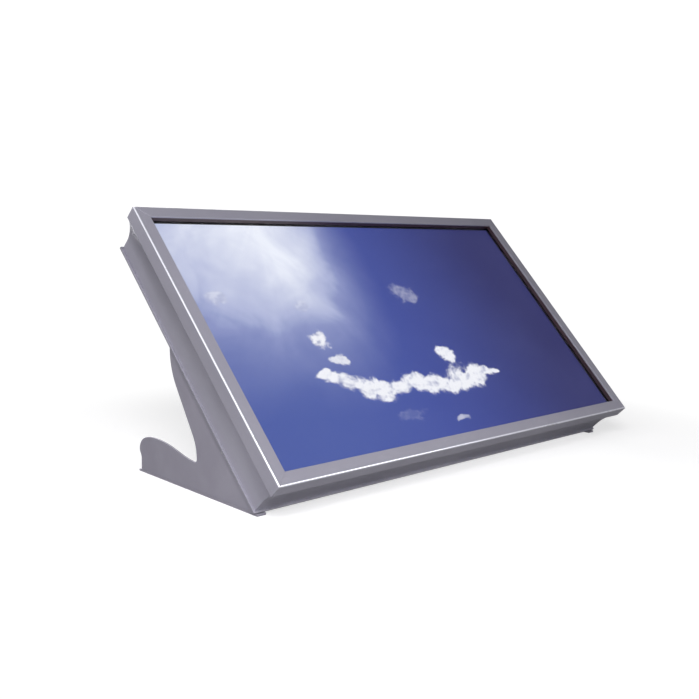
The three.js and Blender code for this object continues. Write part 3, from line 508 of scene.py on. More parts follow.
def makeDisplayPicture():
    values = {"Base_Color": (0.01, 0.01, 0.014, 1.0), "Emission_Strength": 1.0, "Specular_IOR_Level": 0.12}
    material, tree, shader, vector = newMaterial("displayPicture", **values)
    scaled = addNode(tree, "ShaderNodeVectorMath", {0: vector, 3: 1 / mm}, operation="SCALE").outputs[0]
    spread = addNode(tree, "ShaderNodeSeparateXYZ", {0: scaled}).outputs
    across, up = spread[0], spread[1]

    # Blue that deepens to the right.
    color = mixColor(tree, remap(tree, across, -420, 40, smooth=True), sky["left"], sky["middle"])
    color = mixColor(tree, remap(tree, across, -140, 470, smooth=True), color, sky["right"])
    soft = remap(tree, noise(tree, vector, 3.2, 3.0, 0.5), 0.3, 0.7, 0.0, 0.08)
    color = mixColor(tree, soft, color, tone(112, 122, 186))

    # Sunlight from the upper left, steep on its right side, with faint rays.
    east = calc(tree, "SUBTRACT", across, sky["sunAcross"])
    west = calc(tree, "MULTIPLY", east, -1.0)
    below = calc(tree, "SUBTRACT", sky["sunUp"], up)
    angle = calc(tree, "ARCTAN2", east, below)
    fan = addNode(tree, "ShaderNodeCombineXYZ", {0: calc(tree, "MULTIPLY", angle, 7.0)}).outputs[0]
    rays = remap(tree, noise(tree, fan, 1.0, 4.0, 0.65), 0.3, 0.7, 0.94, 1.03)
    rightSide = calc(tree, "DIVIDE", calc(tree, "MAXIMUM", east, 0.0), sky["sunRight"])
    leftSide = calc(tree, "DIVIDE", calc(tree, "MAXIMUM", west, 0.0), sky["sunLeft"])
    sideways = calc(tree, "ADD", calc(tree, "POWER", rightSide, 2.0), calc(tree, "POWER", leftSide, 2.0))
    drop = calc(tree, "POWER", calc(tree, "DIVIDE", below, sky["sunDown"]), 2.6)
    fall = calc(tree, "EXPONENT", calc(tree, "MULTIPLY", calc(tree, "ADD", sideways, drop), -1.0))
    haze = remap(tree, noise(tree, vector, 7.0, 4.0, 0.55, 0.6), 0.32, 0.68, 0.72, 1.12)
    glow = calc(tree, "MULTIPLY", calc(tree, "MULTIPLY", fall, rays), haze)
    color = mixColor(tree, remap(tree, glow, 0.02, 0.42), color, sky["haze"])
    color = mixColor(tree, remap(tree, glow, 0.3, 0.95), color, sky["glow"])

    # A long bank of cloud, thin at its ends, and loose puffs, all with torn edges.
    swirl = addNode(tree, "ShaderNodeTexNoise", {"Vector": vector, "Scale": 17.0, "Detail": 3.0}).outputs[1]
    bend = addNode(tree, "ShaderNodeVectorMath", {0: swirl, 1: (0.5, 0.5, 0.5)}, operation="SUBTRACT").outputs[0]
    bend = addNode(tree, "ShaderNodeVectorMath", {0: bend, 3: 46.0}, operation="SCALE").outputs[0]
    bent = addNode(tree, "ShaderNodeVectorMath", {0: scaled, 1: bend}, operation="ADD").outputs[0]
    bentSpread = addNode(tree, "ShaderNodeSeparateXYZ", {0: bent}).outputs

    def awayFrom(middleAcross, middleUp, width, height):
        inputs = {"Across": bentSpread[0], "Up": bentSpread[1], "Middle Across": float(middleAcross)}
        inputs.update({"Middle Up": float(middleUp), "Width": float(width), "Height": float(height)})
        return useGroup(tree, cloudPuff, inputs)["Away"]

    billow = noise(tree, vector, 34.0, 8.0, 0.66, 0.3)
    tear = calc(tree, "MULTIPLY", calc(tree, "SUBTRACT", billow, 0.5), 2.0)
    bank = None
    for part in sky["bank"]:
        away = awayFrom(*part)
        bank = away if bank is None else calc(tree, "SMOOTH_MIN", bank, away, 0.25)
    clouds = remap(tree, calc(tree, "ADD", bank, tear), 1.16, 0.66, smooth=True)
    for *part, strength in sky["puffs"]:
        mask = remap(tree, calc(tree, "ADD", awayFrom(*part), tear), 1.05, 0.6, 0.0, strength, smooth=True)
        clouds = calc(tree, "MAXIMUM", clouds, mask)

    # Each billow is lighter on the side that faces the sun.
    shifted = {0: vector, 1: (-0.004, 0.006, 0.0)}
    sunward = addNode(tree, "ShaderNodeVectorMath", shifted, operation="ADD").outputs[0]
    relief = calc(tree, "SUBTRACT", noise(tree, vector, 30.0, 4.0, 0.5), noise(tree, sunward, 30.0, 4.0, 0.5))
    thin = remap(tree, clouds, 0.2, 0.9, -0.06, 0.05)
    light = remap(tree, calc(tree, "ADD", relief, thin), -0.16, 0.07, smooth=True)
    cloudColor = mixColor(tree, light, sky["cloudShade"], sky["cloud"])
    color = mixColor(tree, clouds, color, cloudColor)
    tree.links.new(color, shader.inputs["Emission Color"])
    film = useGroup(tree, fineGrain, {"Vector": vector, "Fineness": 3000.0})["Value"]
    feed(tree, shader, roughness=remap(tree, film, 0.3, 0.7, 0.3, 0.42), height=film, bumpDepth=0.00001)
    return material


materials = {name: makeMetal(name) for name in metalLooks}
materials.update({name: makePlastic(name) for name in plasticLooks})
materials["legFinish"] = makeLegFinish()
materials["coverGlass"] = makeCoverGlass()
materials["circuitBoard"] = makeCircuitBoard()
materials["displayPicture"] = makeDisplayPicture()
print("materials made:", len(materials))


# ---------------- mesh helpers

def pieceName(node):
    first, *rest = node.split("_")
    return first + "".join(word.capitalize() for word in rest)


def linkObject(name, mesh):
    piece = bpy.data.objects.new(name, mesh)
    bpy.context.collection.objects.link(piece)
    return piece


def bmeshToMesh(work, name):
    bmesh.ops.recalc_face_normals(work, faces=work.faces)
    mesh = bpy.data.meshes.new(name)
    work.to_mesh(mesh)
    work.free()
    return mesh


def softenEdges(piece, edge, sharpAngle=32):
    piece.data.shade_smooth()
    piece.data.set_sharp_from_angle(angle=math.radians(sharpAngle))
    if edge:
        bevel = piece.modifiers.new("softEdges", "BEVEL")
        bevel.width = edge * mm
        bevel.segments = 2
        bevel.limit_method = "ANGLE"
        bevel.angle_limit = math.radians(sharpAngle)
        bevel.use_clamp_overlap = True
    weighted = piece.modifiers.new("evenShading", "WEIGHTED_NORMAL")
    weighted.keep_sharp = True
    weighted.weight = 50


# Gives a made mesh its place, finish and body, names it after the CAD node that it stands for, and hides that node.
def finishPiece(node, mesh, finish, matrix, edge=0.3, body="housing", extra=()):
    piece = linkObject(pieceName(node), mesh)
    for name in (finish, *extra):
        piece.data.materials.append(materials[name])
    softenEdges(piece, edge)
    piece.matrix_world = matrix
    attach(piece, body)
    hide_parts(node)
    return piece


def rectangle(across, up, width, height, radius=0.0, steps=5):
    if not radius:
        return [(across + x * width / 2, up + y * height / 2) for x, y in ((-1, -1), (1, -1), (1, 1), (-1, 1))]
    points = []
    for quarter, (x, y) in enumerate(((1, 1), (-1, 1), (-1, -1), (1, -1))):
        centre = (across + x * (width / 2 - radius), up + y * (height / 2 - radius))
        points += arc(*centre, radius, quarter * 90, quarter * 90 + 90, steps)
    return points


def arc(x, y, radius, start, end, steps=12):
    angles = [math.radians(start + (end - start) * i / steps) for i in range(steps + 1)]
    return [(x + radius * math.cos(a), y + radius * math.sin(a)) for a in angles]


def circle(x, y, radius, steps=40):
    return arc(x, y, radius, 0, 360, steps)[:-1]


def slot(x, y, length, width, upright=False):
    half = (length - width) / 2
    ends = arc(half, 0, width / 2, -90, 90, 8) + arc(-half, 0, width / 2, 90, 270, 8)
    return [(x - b, y + a) if upright else (x + a, y + b) for a, b in ends]


def bezier(first, second, third, fourth, steps=14):
    points = []
    for i in range(steps + 1):
        t = i / steps
        shares = ((1 - t) ** 3, 3 * t * (1 - t) ** 2, 3 * t * t * (1 - t), t ** 3)
        points.append(tuple(
            sum(s * p[k] for s, p in zip(shares, (first, second, third, fourth))) for k in (0, 1)
        ))
    return points


# A plate with holes and softened edges, from z = low to z = high, in metres.
def plateMesh(name, outline, holes, low, high, edge=0.3):
    data = bpy.data.curves.new(name, "CURVE")
    data.dimensions = "2D"
    data.fill_mode = "BOTH"
    data.extrude = ((high - low) / 2 - edge) * mm
    data.bevel_depth = edge * mm
    data.bevel_resolution = 1
    data.offset = -edge * mm
    for points in [outline, *holes]:
        spline = data.splines.new("POLY")
        spline.points.add(len(points) - 1)
        for knot, (x, y) in zip(spline.points, points):
            knot.co = (x * mm, y * mm, 0, 1)
        spline.use_cyclic_u = True
    holder = linkObject(name + "Outline", data)
    bpy.context.view_layer.update()
    mesh = bpy.data.meshes.new_from_object(holder.evaluated_get(bpy.context.evaluated_depsgraph_get()))
    bpy.data.objects.remove(holder)
    bpy.data.curves.remove(data)
    work = bmesh.new()
    work.from_mesh(mesh)
    bpy.data.meshes.remove(mesh)
    bmesh.ops.remove_doubles(work, verts=work.verts, dist=0.000002)
    bmesh.ops.translate(work, verts=work.verts, vec=(0, 0, (low + high) / 2 * mm))
    return bmeshToMesh(work, name)


# A plain prism of an outline, along z.
def prismMesh(name, outline, low, high):
    work = bmesh.new()
    rings = [[work.verts.new((x * mm, y * mm, z * mm)) for x, y in outline] for z in (low, high)]
    bridgeRings(work, rings)
    work.faces.new(rings[0][::-1])
    work.faces.new(rings[1])
    return bmeshToMesh(work, name)


def bridgeRings(work, rings):
    for lower, upper in zip(rings, rings[1:]):
        for i in range(len(lower)):
            j = (i + 1) % len(lower)
            work.faces.new((lower[i], lower[j], upper[j], upper[i]))


# Turned about z from (radius, height) points; radius 0 closes an end.
def turnedMesh(name, profile, steps=40):
    work = bmesh.new()
    rings = []
    for radius, height in profile:
        if radius == 0:
            rings.append([work.verts.new((0, 0, height * mm))])
            continue
        rings.append([work.verts.new((x * mm, y * mm, height * mm)) for x, y in circle(0, 0, radius, steps)])
    for lower, upper in zip(rings, rings[1:]):
        if len(lower) == 1 or len(upper) == 1:
            tip, rim = (lower[0], upper) if len(lower) == 1 else (upper[0], lower)
            for i in range(steps):
                work.faces.new((tip, rim[i], rim[(i + 1) % steps]))
        else:
            bridgeRings(work, [lower, upper])
    return bmeshToMesh(work, name)


# Stands a flat outline up: its X and Y become Y and Z, and its thickness runs along X.
upright = Matrix(((0, 0, 1, 0), (1, 0, 0, 0), (0, 1, 0, 0), (0, 0, 0, 1)))


def movedMesh(mesh, matrix):
    mesh.transform(matrix)
    return mesh


def moveBy(x=0.0, y=0.0, z=0.0):
    return Matrix.Translation(Vector((x, y, z)) * mm)


def boxMesh(name, x0, x1, y0, y1, z0, z1):
    return prismMesh(name, [(x0, y0), (x1, y0), (x1, y1), (x0, y1)], z0, z1)


# Joins or cuts meshes with one exact boolean each.
def combine(first, others, operation="UNION"):
    target = linkObject("combineTarget", first)
    tools = bpy.data.collections.new("combineTools")
    helpers = []
    for other in others:
        helper = bpy.data.objects.new("combineTool", other)
        tools.objects.link(helper)
        helpers.append(helper)
    modifier = target.modifiers.new("combine", "BOOLEAN")
    modifier.operation = operation
    modifier.operand_type = "COLLECTION"
    modifier.collection = tools
    modifier.solver = "EXACT"
    bpy.context.view_layer.update()
    mesh = bpy.data.meshes.new_from_object(target.evaluated_get(bpy.context.evaluated_depsgraph_get()))
    bpy.data.objects.remove(target)
    for helper in helpers:
        bpy.data.objects.remove(helper)
    bpy.data.collections.remove(tools)
    return mesh


# ---------------- frame rails

bezel = {"edgeRadius": 3, "wall": 3, "rearFlange": 15, "innerChamfer": 0.8, "edge": 0.2}
casing = {
    "grooveInset": 4.5, "grooveDepth": 2.4, "coveRadius": 110, "coveEnd": 80, "wall": 2.5, "flange": 26.5,
    "flangeThickness": 3, "coveSteps": 28, "edge": 0.25,
}
sides = [("bottom", 0), ("right", 1), ("top", 2), ("left", 3)]


def sideSize(turn):  # length of that rail, and how far it lies from the middle
    length, other = (kiosk["width"], kiosk["height"]) if turn % 2 == 0 else (kiosk["height"], kiosk["width"])
    return length, other / 2


def sideMatrix(turn):
    turned = Matrix.Rotation(math.radians(90 * turn), 4, "Z")
    return slopeAt(0, kiosk["height"] / 2, 0) @ turned @ moveBy(y=-sideSize(turn)[1])


# Section points are (inset from the outer edge, height over the front face); the ends follow the inset.
def mitredRail(name, section, length):
    work = bmesh.new()
    rings = []
    for end in (-1, 1):
        reach = [end * (length / 2 - inset - kiosk["fit"] / 2) for inset, _ in section]
        rings.append([
            work.verts.new((x * mm, inset * mm, height * mm)) for x, (inset, height) in zip(reach, section)
        ])
    bridgeRings(work, rings)
    work.faces.new(rings[0][::-1])
    work.faces.new(rings[1])
    return bmeshToMesh(work, name)


def bezelSection():
    radius, wall, depth, face = bezel["edgeRadius"], bezel["wall"], kiosk["bezelDepth"], kiosk["face"]
    chamfer = bezel["innerChamfer"]
    return [
        *arc(radius, -radius, radius, 90, 180, 12), (0, -depth), (bezel["rearFlange"], -depth),
        (bezel["rearFlange"], wall - depth), (wall, wall - depth), (wall, -kiosk["lip"]),
        (face, -kiosk["lip"]), *arc(face - chamfer, -chamfer, chamfer, 0, 90, 4),
    ]


def coveInset(depth):
    before = max(casing["coveEnd"] - depth, 0)
    return kiosk["casingInset"] - (casing["coveRadius"] - math.sqrt(casing["coveRadius"] ** 2 - before ** 2))


def casingSection():
    front = kiosk["bezelDepth"] + kiosk["fit"]
    coveStart = front + casing["grooveDepth"]
    steps = casing["coveSteps"]
    depths = [coveStart + (casing["coveEnd"] - coveStart) * i / steps for i in range(steps + 1)]
    outside = [(coveInset(depth), -depth) for depth in depths]
    inside = [
        (coveInset(depth) + casing["wall"], -depth) for depth in depths if depth > coveStart + casing["wall"]
    ]
    flangeEnd, back = kiosk["casingInset"] + casing["flange"], kiosk["casingDepth"]
    wallEnd = casing["flangeThickness"] - back
    return [
        (casing["grooveInset"], -front), (casing["grooveInset"], -coveStart), *outside,
        (kiosk["casingInset"], -back), (flangeEnd, -back), (flangeEnd, wallEnd),
        (kiosk["casingInset"] + casing["wall"], wallEnd), *inside[::-1],
        (bezel["rearFlange"], 1 - coveStart - casing["wall"]), (bezel["rearFlange"], -front),
    ]


for side, turn in sides:
    length = sideSize(turn)[0]
    rail = mitredRail("bezelRail", bezelSection(), length)
    finishPiece(f"bezel_rail_{side}", rail, "frameFinish", sideMatrix(turn), bezel["edge"])
    rail = mitredRail("casingRail", casingSection(), length)
    finishPiece(f"casing_rail_{side}", rail, "frameFinish", sideMatrix(turn), casing["edge"])
print("frame rails made")


# ---------------- display

display = {"edge": 16, "front": 19, "back": 27, "picture": (1018.4, 572.7), "recess": 0.4}


def makeLcdPanel():
    width, height = kiosk["width"] - 2 * display["edge"], kiosk["height"] - 2 * display["edge"]
    middle, front = kiosk["height"] / 2, -display["front"]
    work = bmesh.new()
    outlines = [
        (rectangle(0, middle, width, height), -display["back"]),
        (rectangle(0, middle, width, height), front),
        (rectangle(0, middle, *display["picture"]), front),
        (rectangle(0, middle, *display["picture"]), front - display["recess"]),
    ]
    rings = [[work.verts.new((x * mm, y * mm, z * mm)) for x, y in points] for points, z in outlines]
    bridgeRings(work, rings)
    work.faces.new(rings[0][::-1])
    work.faces.new(rings[-1]).material_index = 1
    mesh = bmeshToMesh(work, "lcdPanel")
    panel = finishPiece("lcd_panel", mesh, "blackCase", slopeMatrix, 0.3, extra=["displayPicture"])


makeLcdPanel()
print("display made")


# ---------------- rear cover and service door

cover = {"corner": 2, "edge": 0.5, "doorGap": 0.9, "doorSize": (240, 190), "screwHole": 2.6, "screwInset": 28.75}
coverScrewsAcross = [-400, -150, 150, 400]
legScrewsUp = [62, 205, 345]
vents = {
    "across": 345, "up": 455.2, "bore": 38, "slot": 4.5, "pitch": 9,
    "intakeCount": 20, "intakePitch": 14, "intakeLength": 56, "intakeUp": 96, "intakeFrom": -4,
}
sockets = {
    "up": 96,
    "inlet": {"across": -262, "opening": (27.6, 20.4)},
    "switch": {"across": -212, "opening": (13.2, 19.4)},
    "network": {"across": -172, "opening": (16.4, 14.4)},
}
coverScrewPlaces = [(u, kiosk["height"] - cover["screwInset"]) for u in coverScrewsAcross]
legScrewPlaces = {
    side: [(sign * (kiosk["width"] / 2 - cover["screwInset"]), v) for v in legScrewsUp]
    for side, sign in (("left", -1), ("right", 1))
}


def fanVent(across):
    reach = vents["bore"] - 1
    rows = 2 * int(reach / vents["pitch"])
    slots = []
    for i in range(rows):
        up = (i - (rows - 1) / 2) * vents["pitch"]
        slots.append(slot(across, vents["up"] + up, 2 * math.sqrt(reach ** 2 - up ** 2), vents["slot"]))
    return slots


def makeRearCover():
    middle = kiosk["height"] / 2
    width, height = (kiosk[key] - 2 * kiosk["coverInset"] for key in ("width", "height"))
    doorWidth, doorHeight = (size + 2 * cover["doorGap"] for size in cover["doorSize"])
    holes = [rectangle(0, kiosk["doorUp"], doorWidth, doorHeight, 2.5)]
    holes += [rectangle(sockets[key]["across"], sockets["up"], *sockets[key]["opening"], 1)
              for key in ("inlet", "switch", "network")]
    holes += fanVent(-vents["across"]) + fanVent(vents["across"])
    for i in range(vents["intakeCount"]):
        across = (i + vents["intakeFrom"]) * vents["intakePitch"]
        holes.append(slot(across, vents["intakeUp"], vents["intakeLength"], vents["slot"], upright=True))
    for place in [*coverScrewPlaces, *legScrewPlaces["left"], *legScrewPlaces["right"]]:
        holes.append(circle(*place, cover["screwHole"], 24))
    outline = rectangle(0, middle, width, height, cover["corner"])
    mesh = plateMesh("rearCover", outline, holes, -kiosk["coverBack"], -kiosk["coverFront"], cover["edge"])
    finishPiece("rear_cover", mesh, "coverFinish", slopeMatrix, 0)


lock = {
    "across": 100, "radius": 9.5, "headRadius": 11.5, "head": 2, "length": 13.3, "plug": 6, "stem": 3,
    "camWidth": 12, "camReach": 28, "camThickness": 2.5, "crank": 11,
}


def makeServiceDoor():
    outline = rectangle(0, kiosk["doorUp"], *cover["doorSize"], 2)
    hole = circle(lock["across"], kiosk["doorUp"], lock["radius"] + kiosk["fit"])
    mesh = plateMesh("serviceDoor", outline, [hole], -kiosk["coverBack"], -kiosk["coverFront"], cover["edge"])
    finishPiece("service_door", mesh, "coverFinish", slopeMatrix, 0, body="door")


makeRearCover()
makeServiceDoor()
print("rear cover and door made")


hinge = {
    "across": -120.45, "depth": 108.3, "length": 160, "radius": 3, "pin": 1.5, "leaf": 20, "thickness": 1.5,
    "knuckles": 5, "rivetRadius": 2.7, "rivetHeight": 0.9, "rivetsUp": (-58, 0, 58),
}


# A rod along the slope, from one height to another, with chamfered ends.
def uprightRod(radius, low, high, chamfer=0.3, steps=32):
    profile = [(0, low), (radius - chamfer, low), (radius, low + chamfer), (radius, high - chamfer),
               (radius - chamfer, high), (0, high)]
    return movedMesh(turnedMesh("rod", profile, steps), Matrix.Rotation(math.radians(-90), 4, "X"))


def makeHingeLeaf(node, side, body):
    fit, half = kiosk["fit"], hinge["length"] / 2
    knuckle = hinge["length"] / hinge["knuckles"]
    lift = hinge["depth"] - kiosk["coverBack"] - fit  # axis over the leaf's seat
    near, far = side * hinge["radius"] * 0.6, side * (cover["doorGap"] + hinge["leaf"])
    middle, width = (near + far) / 2, abs(far - near)
    outline = rectangle(middle, 0, width, hinge["length"], 1.5)
    leaf = plateMesh("hingeLeaf", outline, [], lift - hinge["thickness"], lift, 0.2)
    barrels, rooms = [], [uprightRod(hinge["pin"] + fit, -half - 5, half + 5)]
    for i in range(hinge["knuckles"]):
        at = -half + (i + 0.5) * knuckle
        if (i % 2 == 0) == (side < 0):
            barrels.append(uprightRod(hinge["radius"], at - knuckle / 2 + fit, at + knuckle / 2 - fit))
        else:
            rooms.append(uprightRod(
                hinge["radius"] + 2 * fit, at - knuckle / 2 - fit / 2, at + knuckle / 2 + fit / 2, 0.01
            ))
    dome = [(0, 1.2), (hinge["rivetRadius"], 1.2), (hinge["rivetRadius"], 0.3 - hinge["rivetHeight"] * 0.4)]
    dome += [(hinge["rivetRadius"] * 0.72, -hinge["rivetHeight"] * 0.85), (0, -hinge["rivetHeight"])]
    seat = lift - hinge["thickness"]
    rivets = [
        movedMesh(turnedMesh("rivet", dome, 24), moveBy(far - side * 7, up, seat - 0.1)) for up in hinge["rivetsUp"]
    ]
    solid = combine(combine(leaf, barrels + rivets), rooms, "DIFFERENCE")
    place = slopeAt(hinge["across"], kiosk["doorUp"], hinge["depth"])
    finishPiece(node, solid, "brightSteel", place, 0, body=body)


makeHingeLeaf("hinge_cover_leaf", -1, "housing")
makeHingeLeaf("hinge_door_leaf", 1, "door")
pin = uprightRod(hinge["pin"], -hinge["length"] / 2 - 1, hinge["length"] / 2 + 1, 0.4)
finishPiece("hinge_pin", pin, "brightSteel", slopeAt(hinge["across"], kiosk["doorUp"], hinge["depth"]), 0)
print("hinge made")


# ---------------- lock

def makeLock():
    fit = kiosk["fit"]
    place = slopeAt(lock["across"], kiosk["doorUp"], 0)
    headBack = kiosk["coverBack"] + fit + lock["head"]
    housingFront = kiosk["coverFront"] - lock["length"]
    bore, barrel = lock["plug"] + fit, lock["radius"]
    threads = []  # ridges of the thread behind the door
    for i in range(9):
        at = housingFront + 0.9 + i * 1.2
        threads += [(barrel - 0.45, -at), (barrel, -at - 0.6)]
    profile = [
        (bore, -housingFront), *threads, (barrel - 0.2, -kiosk["coverFront"] + 0.5),
        (barrel - 0.2, -headBack + lock["head"]),
        (lock["headRadius"], -headBack + lock["head"]), (lock["headRadius"], -headBack + 0.7),
        (lock["headRadius"] - 0.7, -headBack), (bore + 1.2, -headBack), (bore, -headBack + 0.8),
        (bore, -housingFront),
    ]
    finishPiece("lock_housing", turnedMesh("lockHousing", profile, 48), "brightSteel", place, 0.12, body="door")

    plugFront = housingFront - fit
    stemFront = plugFront - lock["camThickness"] - 3
    face = headBack - 0.4
    profile = [
        (0, -stemFront), (lock["stem"] - 0.4, -stemFront), (lock["stem"], -stemFront - 0.4),
        (lock["stem"], -plugFront),
        (lock["plug"], -plugFront), (lock["plug"], -face + 0.4), (lock["plug"] - 0.4, -face),
        (3.9, -face), (3.7, -face + 0.3), (0, -face + 0.3),
    ]
    keyway = [(-0.9, -3.5), (0.9, -3.5), (0.9, -1.2), (0.35, -0.8), (0.35, 0.6), (0.9, 1.0), (0.9, 3.5), (-0.9, 3.5),
              (-0.9, 1.4), (-0.4, 1.0), (-0.4, -0.4), (-0.9, -0.8)]
    key = prismMesh("keyway", keyway, -face - 1, 6 - face)
    plug = combine(turnedMesh("lockPlug", profile, 40), [key], "DIFFERENCE")
    finishPiece("lock_plug", plug, "lockBrass", place, 0.1, body="lock_turning")

    # The cam is a strip with two bends; its tongue reaches behind the cover when it is turned.
    thick, half = lock["camThickness"], lock["camWidth"] / 2
    camBack = plugFront - fit
    camFront = camBack - thick
    tongue = kiosk["coverFront"] - 0.7
    crank = lock["crank"]
    strip = [
        (-half, -camFront), *arc(crank + thick - 1.5, -camFront - 1.5, 1.5, 90, 0, 5),
        (crank + thick, thick - tongue),
        (lock["camReach"], thick - tongue), (lock["camReach"], -tongue),
        *arc(crank + 1.5, 1.5 - tongue, 1.5, 270, 180, 5),
        (crank, -camBack), (-half, -camBack),
    ]
    cam = movedMesh(prismMesh("lockCam", strip, -half, half), upright)
    hole = movedMesh(prismMesh("hole", circle(0, 0, lock["stem"] + fit, 24), -1, 1 + thick), moveBy(z=-camBack))
    cam = combine(cam, [hole], "DIFFERENCE")
    finishPiece("lock_cam", cam, "brightSteel", place, 0.35, body="lock_turning")


makeLock()
print("lock made")


# ---------------- fans

fan = {
    "size": 80, "depth": 25, "front": 76, "flange": 3.6, "corner": 6, "shroud": 1.3, "screw": 2.2, "screwInset": 4.25,
    "hub": 17, "blades": 7, "bladePitch": 38, "bladeThickness": 1.3, "strut": 5, "seat": 4, "tipGap": 1.5,
}


def fanFrameMesh():
    half, depth, bore = fan["size"] / 2, fan["depth"], vents["bore"]
    inset = half - fan["screwInset"]
    corners = [(x * inset, y * inset) for x in (-1, 1) for y in (-1, 1)]
    holes = [circle(0, 0, bore, 72)] + [circle(x, y, fan["screw"], 20) for x, y in corners]
    outline = rectangle(0, 0, fan["size"], fan["size"], fan["corner"])
    flanges = [
        plateMesh("flange", outline, holes, low, low + fan["flange"], 0.4) for low in (-depth, -fan["flange"])
    ]
    outer = circle(0, 0, bore + fan["shroud"], 72)
    shroud = plateMesh("shroud", outer, [circle(0, 0, bore, 72)], -depth + 1, -1, 0.1)
    posts = [plateMesh("post", circle(x * 0.985, y * 0.985, 3.9, 24), [circle(x, y, fan["screw"], 20)], -depth + 1, -1, 0.1)
             for x, y in corners]
    struts = []
    for angle in (45, 135):
        bar = boxMesh("strut", -half + 0.8, half - 0.8, -fan["strut"] / 2, fan["strut"] / 2, -fan["seat"], -0.2)
        struts.append(movedMesh(bar, Matrix.Rotation(math.radians(angle), 4, "Z")))
    seatRadius = fan["hub"] - 1
    seatProfile = [
        (0, 0), (seatRadius - 0.6, 0), (seatRadius, -0.6), (seatRadius, -fan["seat"]), (0, -fan["seat"]),
    ]
    seat = turnedMesh("seat", seatProfile, 48)
    post = turnedMesh("axle", [(0, -3), (2, -3), (2, 6 - depth), (0, 6 - depth)], 20)
    return combine(flanges[0], [flanges[1], shroud, *posts, *struts, seat, post])


# Blades lean back and twist towards the tip.
def bladeMesh(index):
    front, back = fan["seat"] + kiosk["fit"] + 0.4, fan["depth"] - 2.4
    root, tip = fan["hub"] - 0.8, vents["bore"] - fan["tipGap"]
    steps, chordSteps = 8, 8
    work = bmesh.new()
    rings = []
    for i in range(steps + 1):
        radius = root + (tip - root) * i / steps
        share = i / steps
        pitch = math.radians(fan["bladePitch"] + 12 * (1 - share))
        sweepBack = 0.22 * share ** 1.4
        tall = (back - front) * (1 - 0.1 * share ** 3)
        wide = tall / math.tan(pitch)
        upper, lower = [], []
        for j in range(chordSteps + 1):
            t = j / chordSteps - 0.5
            camber = 1.5 * (0.25 - t * t) * 4
            thick = fan["bladeThickness"] * (0.35 + 0.65 * math.sqrt(max(0.0, 1 - (2 * t) ** 2))) / 2
            for side, ring in ((1, upper), (-1, lower)):
                slide = t * wide + (camber + side * thick) * math.sin(pitch)
                height = -(front + back) / 2 + t * tall - (camber + side * thick) * math.cos(pitch)
                angle = slide / radius + sweepBack + index * 2 * math.pi / fan["blades"]
                ring.append(work.verts.new((radius * math.cos(angle) * mm, radius * math.sin(angle) * mm, height * mm)))
        rings.append(upper + lower[::-1])
    bridgeRings(work, rings)
    work.faces.new(rings[0][::-1])
    work.faces.new(rings[-1])
    return bmeshToMesh(work, "blade")


def fanRotorMesh():
    hub, front, back = fan["hub"], fan["seat"] + kiosk["fit"], fan["depth"] - 2
    well = fan["depth"] - 6 + kiosk["fit"]
    axle = 2 + kiosk["fit"]
    profile = [
        (0, -front), (hub - 0.5, -front), (hub, -front - 0.5), (hub, -back + 2.2), (hub - 0.65, -back + 0.65),
        (hub - 2.2, -back), (hub - 5, -back), (hub - 5.6, -back + 0.6), (0, -back + 0.6),
    ]
    closing = turnedMesh("rotorWell", [(0, -front + 1), (axle, -front + 1), (axle, -well), (0, -well)], 24)
    core = turnedMesh("rotorHub", profile, 56)
    solid = combine(core, [bladeMesh(i) for i in range(fan["blades"])])
    return combine(solid, [closing], "DIFFERENCE")


fanFrame, fanRotor = fanFrameMesh(), fanRotorMesh()
for side, sign in (("left", -1), ("right", 1)):
    place = slopeAt(sign * vents["across"], vents["up"], fan["front"])
    finishPiece(f"fan_frame_{side}", fanFrame.copy(), "blackPlastic", place, 0)
    finishPiece(f"fan_rotor_{side}", fanRotor.copy(), "blackPlastic", place, 0, body=f"fan_{side}")
print("fans made")


# ---------------- sockets and switch

def socketShell(opening, rim, rimThickness, front, cavity, floorDepth):
    fit, back = kiosk["fit"], kiosk["coverBack"] + kiosk["fit"]
    width, height = opening
    body = rectangle(0, 0, width - 2 * fit, height - 2 * fit, 0.8)
    plate = rectangle(0, 0, width + 2 * rim, height + 2 * rim, 1.8)
    return [
        plateMesh("socketRim", plate, [cavity], -back - rimThickness, -back, 0.35),
        plateMesh("socketBody", body, [cavity], -back - 0.6, -floorDepth, 0.05),
        plateMesh("socketFloor", body, [], -floorDepth - 0.3, -front, 0.1),
    ]


def makePowerInlet():
    parts = sockets["inlet"]
    front = kiosk["coverFront"] - 22
    floorDepth = kiosk["coverFront"] - 18
    width, height, chamfer = 24.5 / 2, 16.5 / 2, 4.6
    cavity = [(-width, -height), (width, -height), (width, height - chamfer), (width - chamfer, height),
              (chamfer - width, height), (-width, height - chamfer)]
    pins = [plateMesh("pin", rectangle(u, v, 2, 4, 0.5, 3), [], -floorDepth - 8, -floorDepth + 0.2, 0.45)
            for u, v in ((-7, -1.5), (0, 2.5), (7, -1.5))]
    shell = socketShell(parts["opening"], 3, 2.5, front, cavity, floorDepth)
    mesh = combine(shell[0], shell[1:])
    pinMesh = joinMeshes([mesh, *pins], [0, 1, 1, 1])
    place = slopeAt(parts["across"], sockets["up"], 0)
    finishPiece("power_inlet", pinMesh, "blackPlastic", place, 0, extra=["brightSteel"])


# Puts loose closed meshes into one, each with its own material number.
def joinMeshes(meshes, numbers):
    work = bmesh.new()
    for mesh, number in zip(meshes, numbers):
        count = len(work.faces)
        work.from_mesh(mesh)
        work.faces.ensure_lookup_table()
        for face in work.faces[count:]:
            face.material_index = number
    joined = bpy.data.meshes.new("joined")
    work.to_mesh(joined)
    work.free()
    return joined


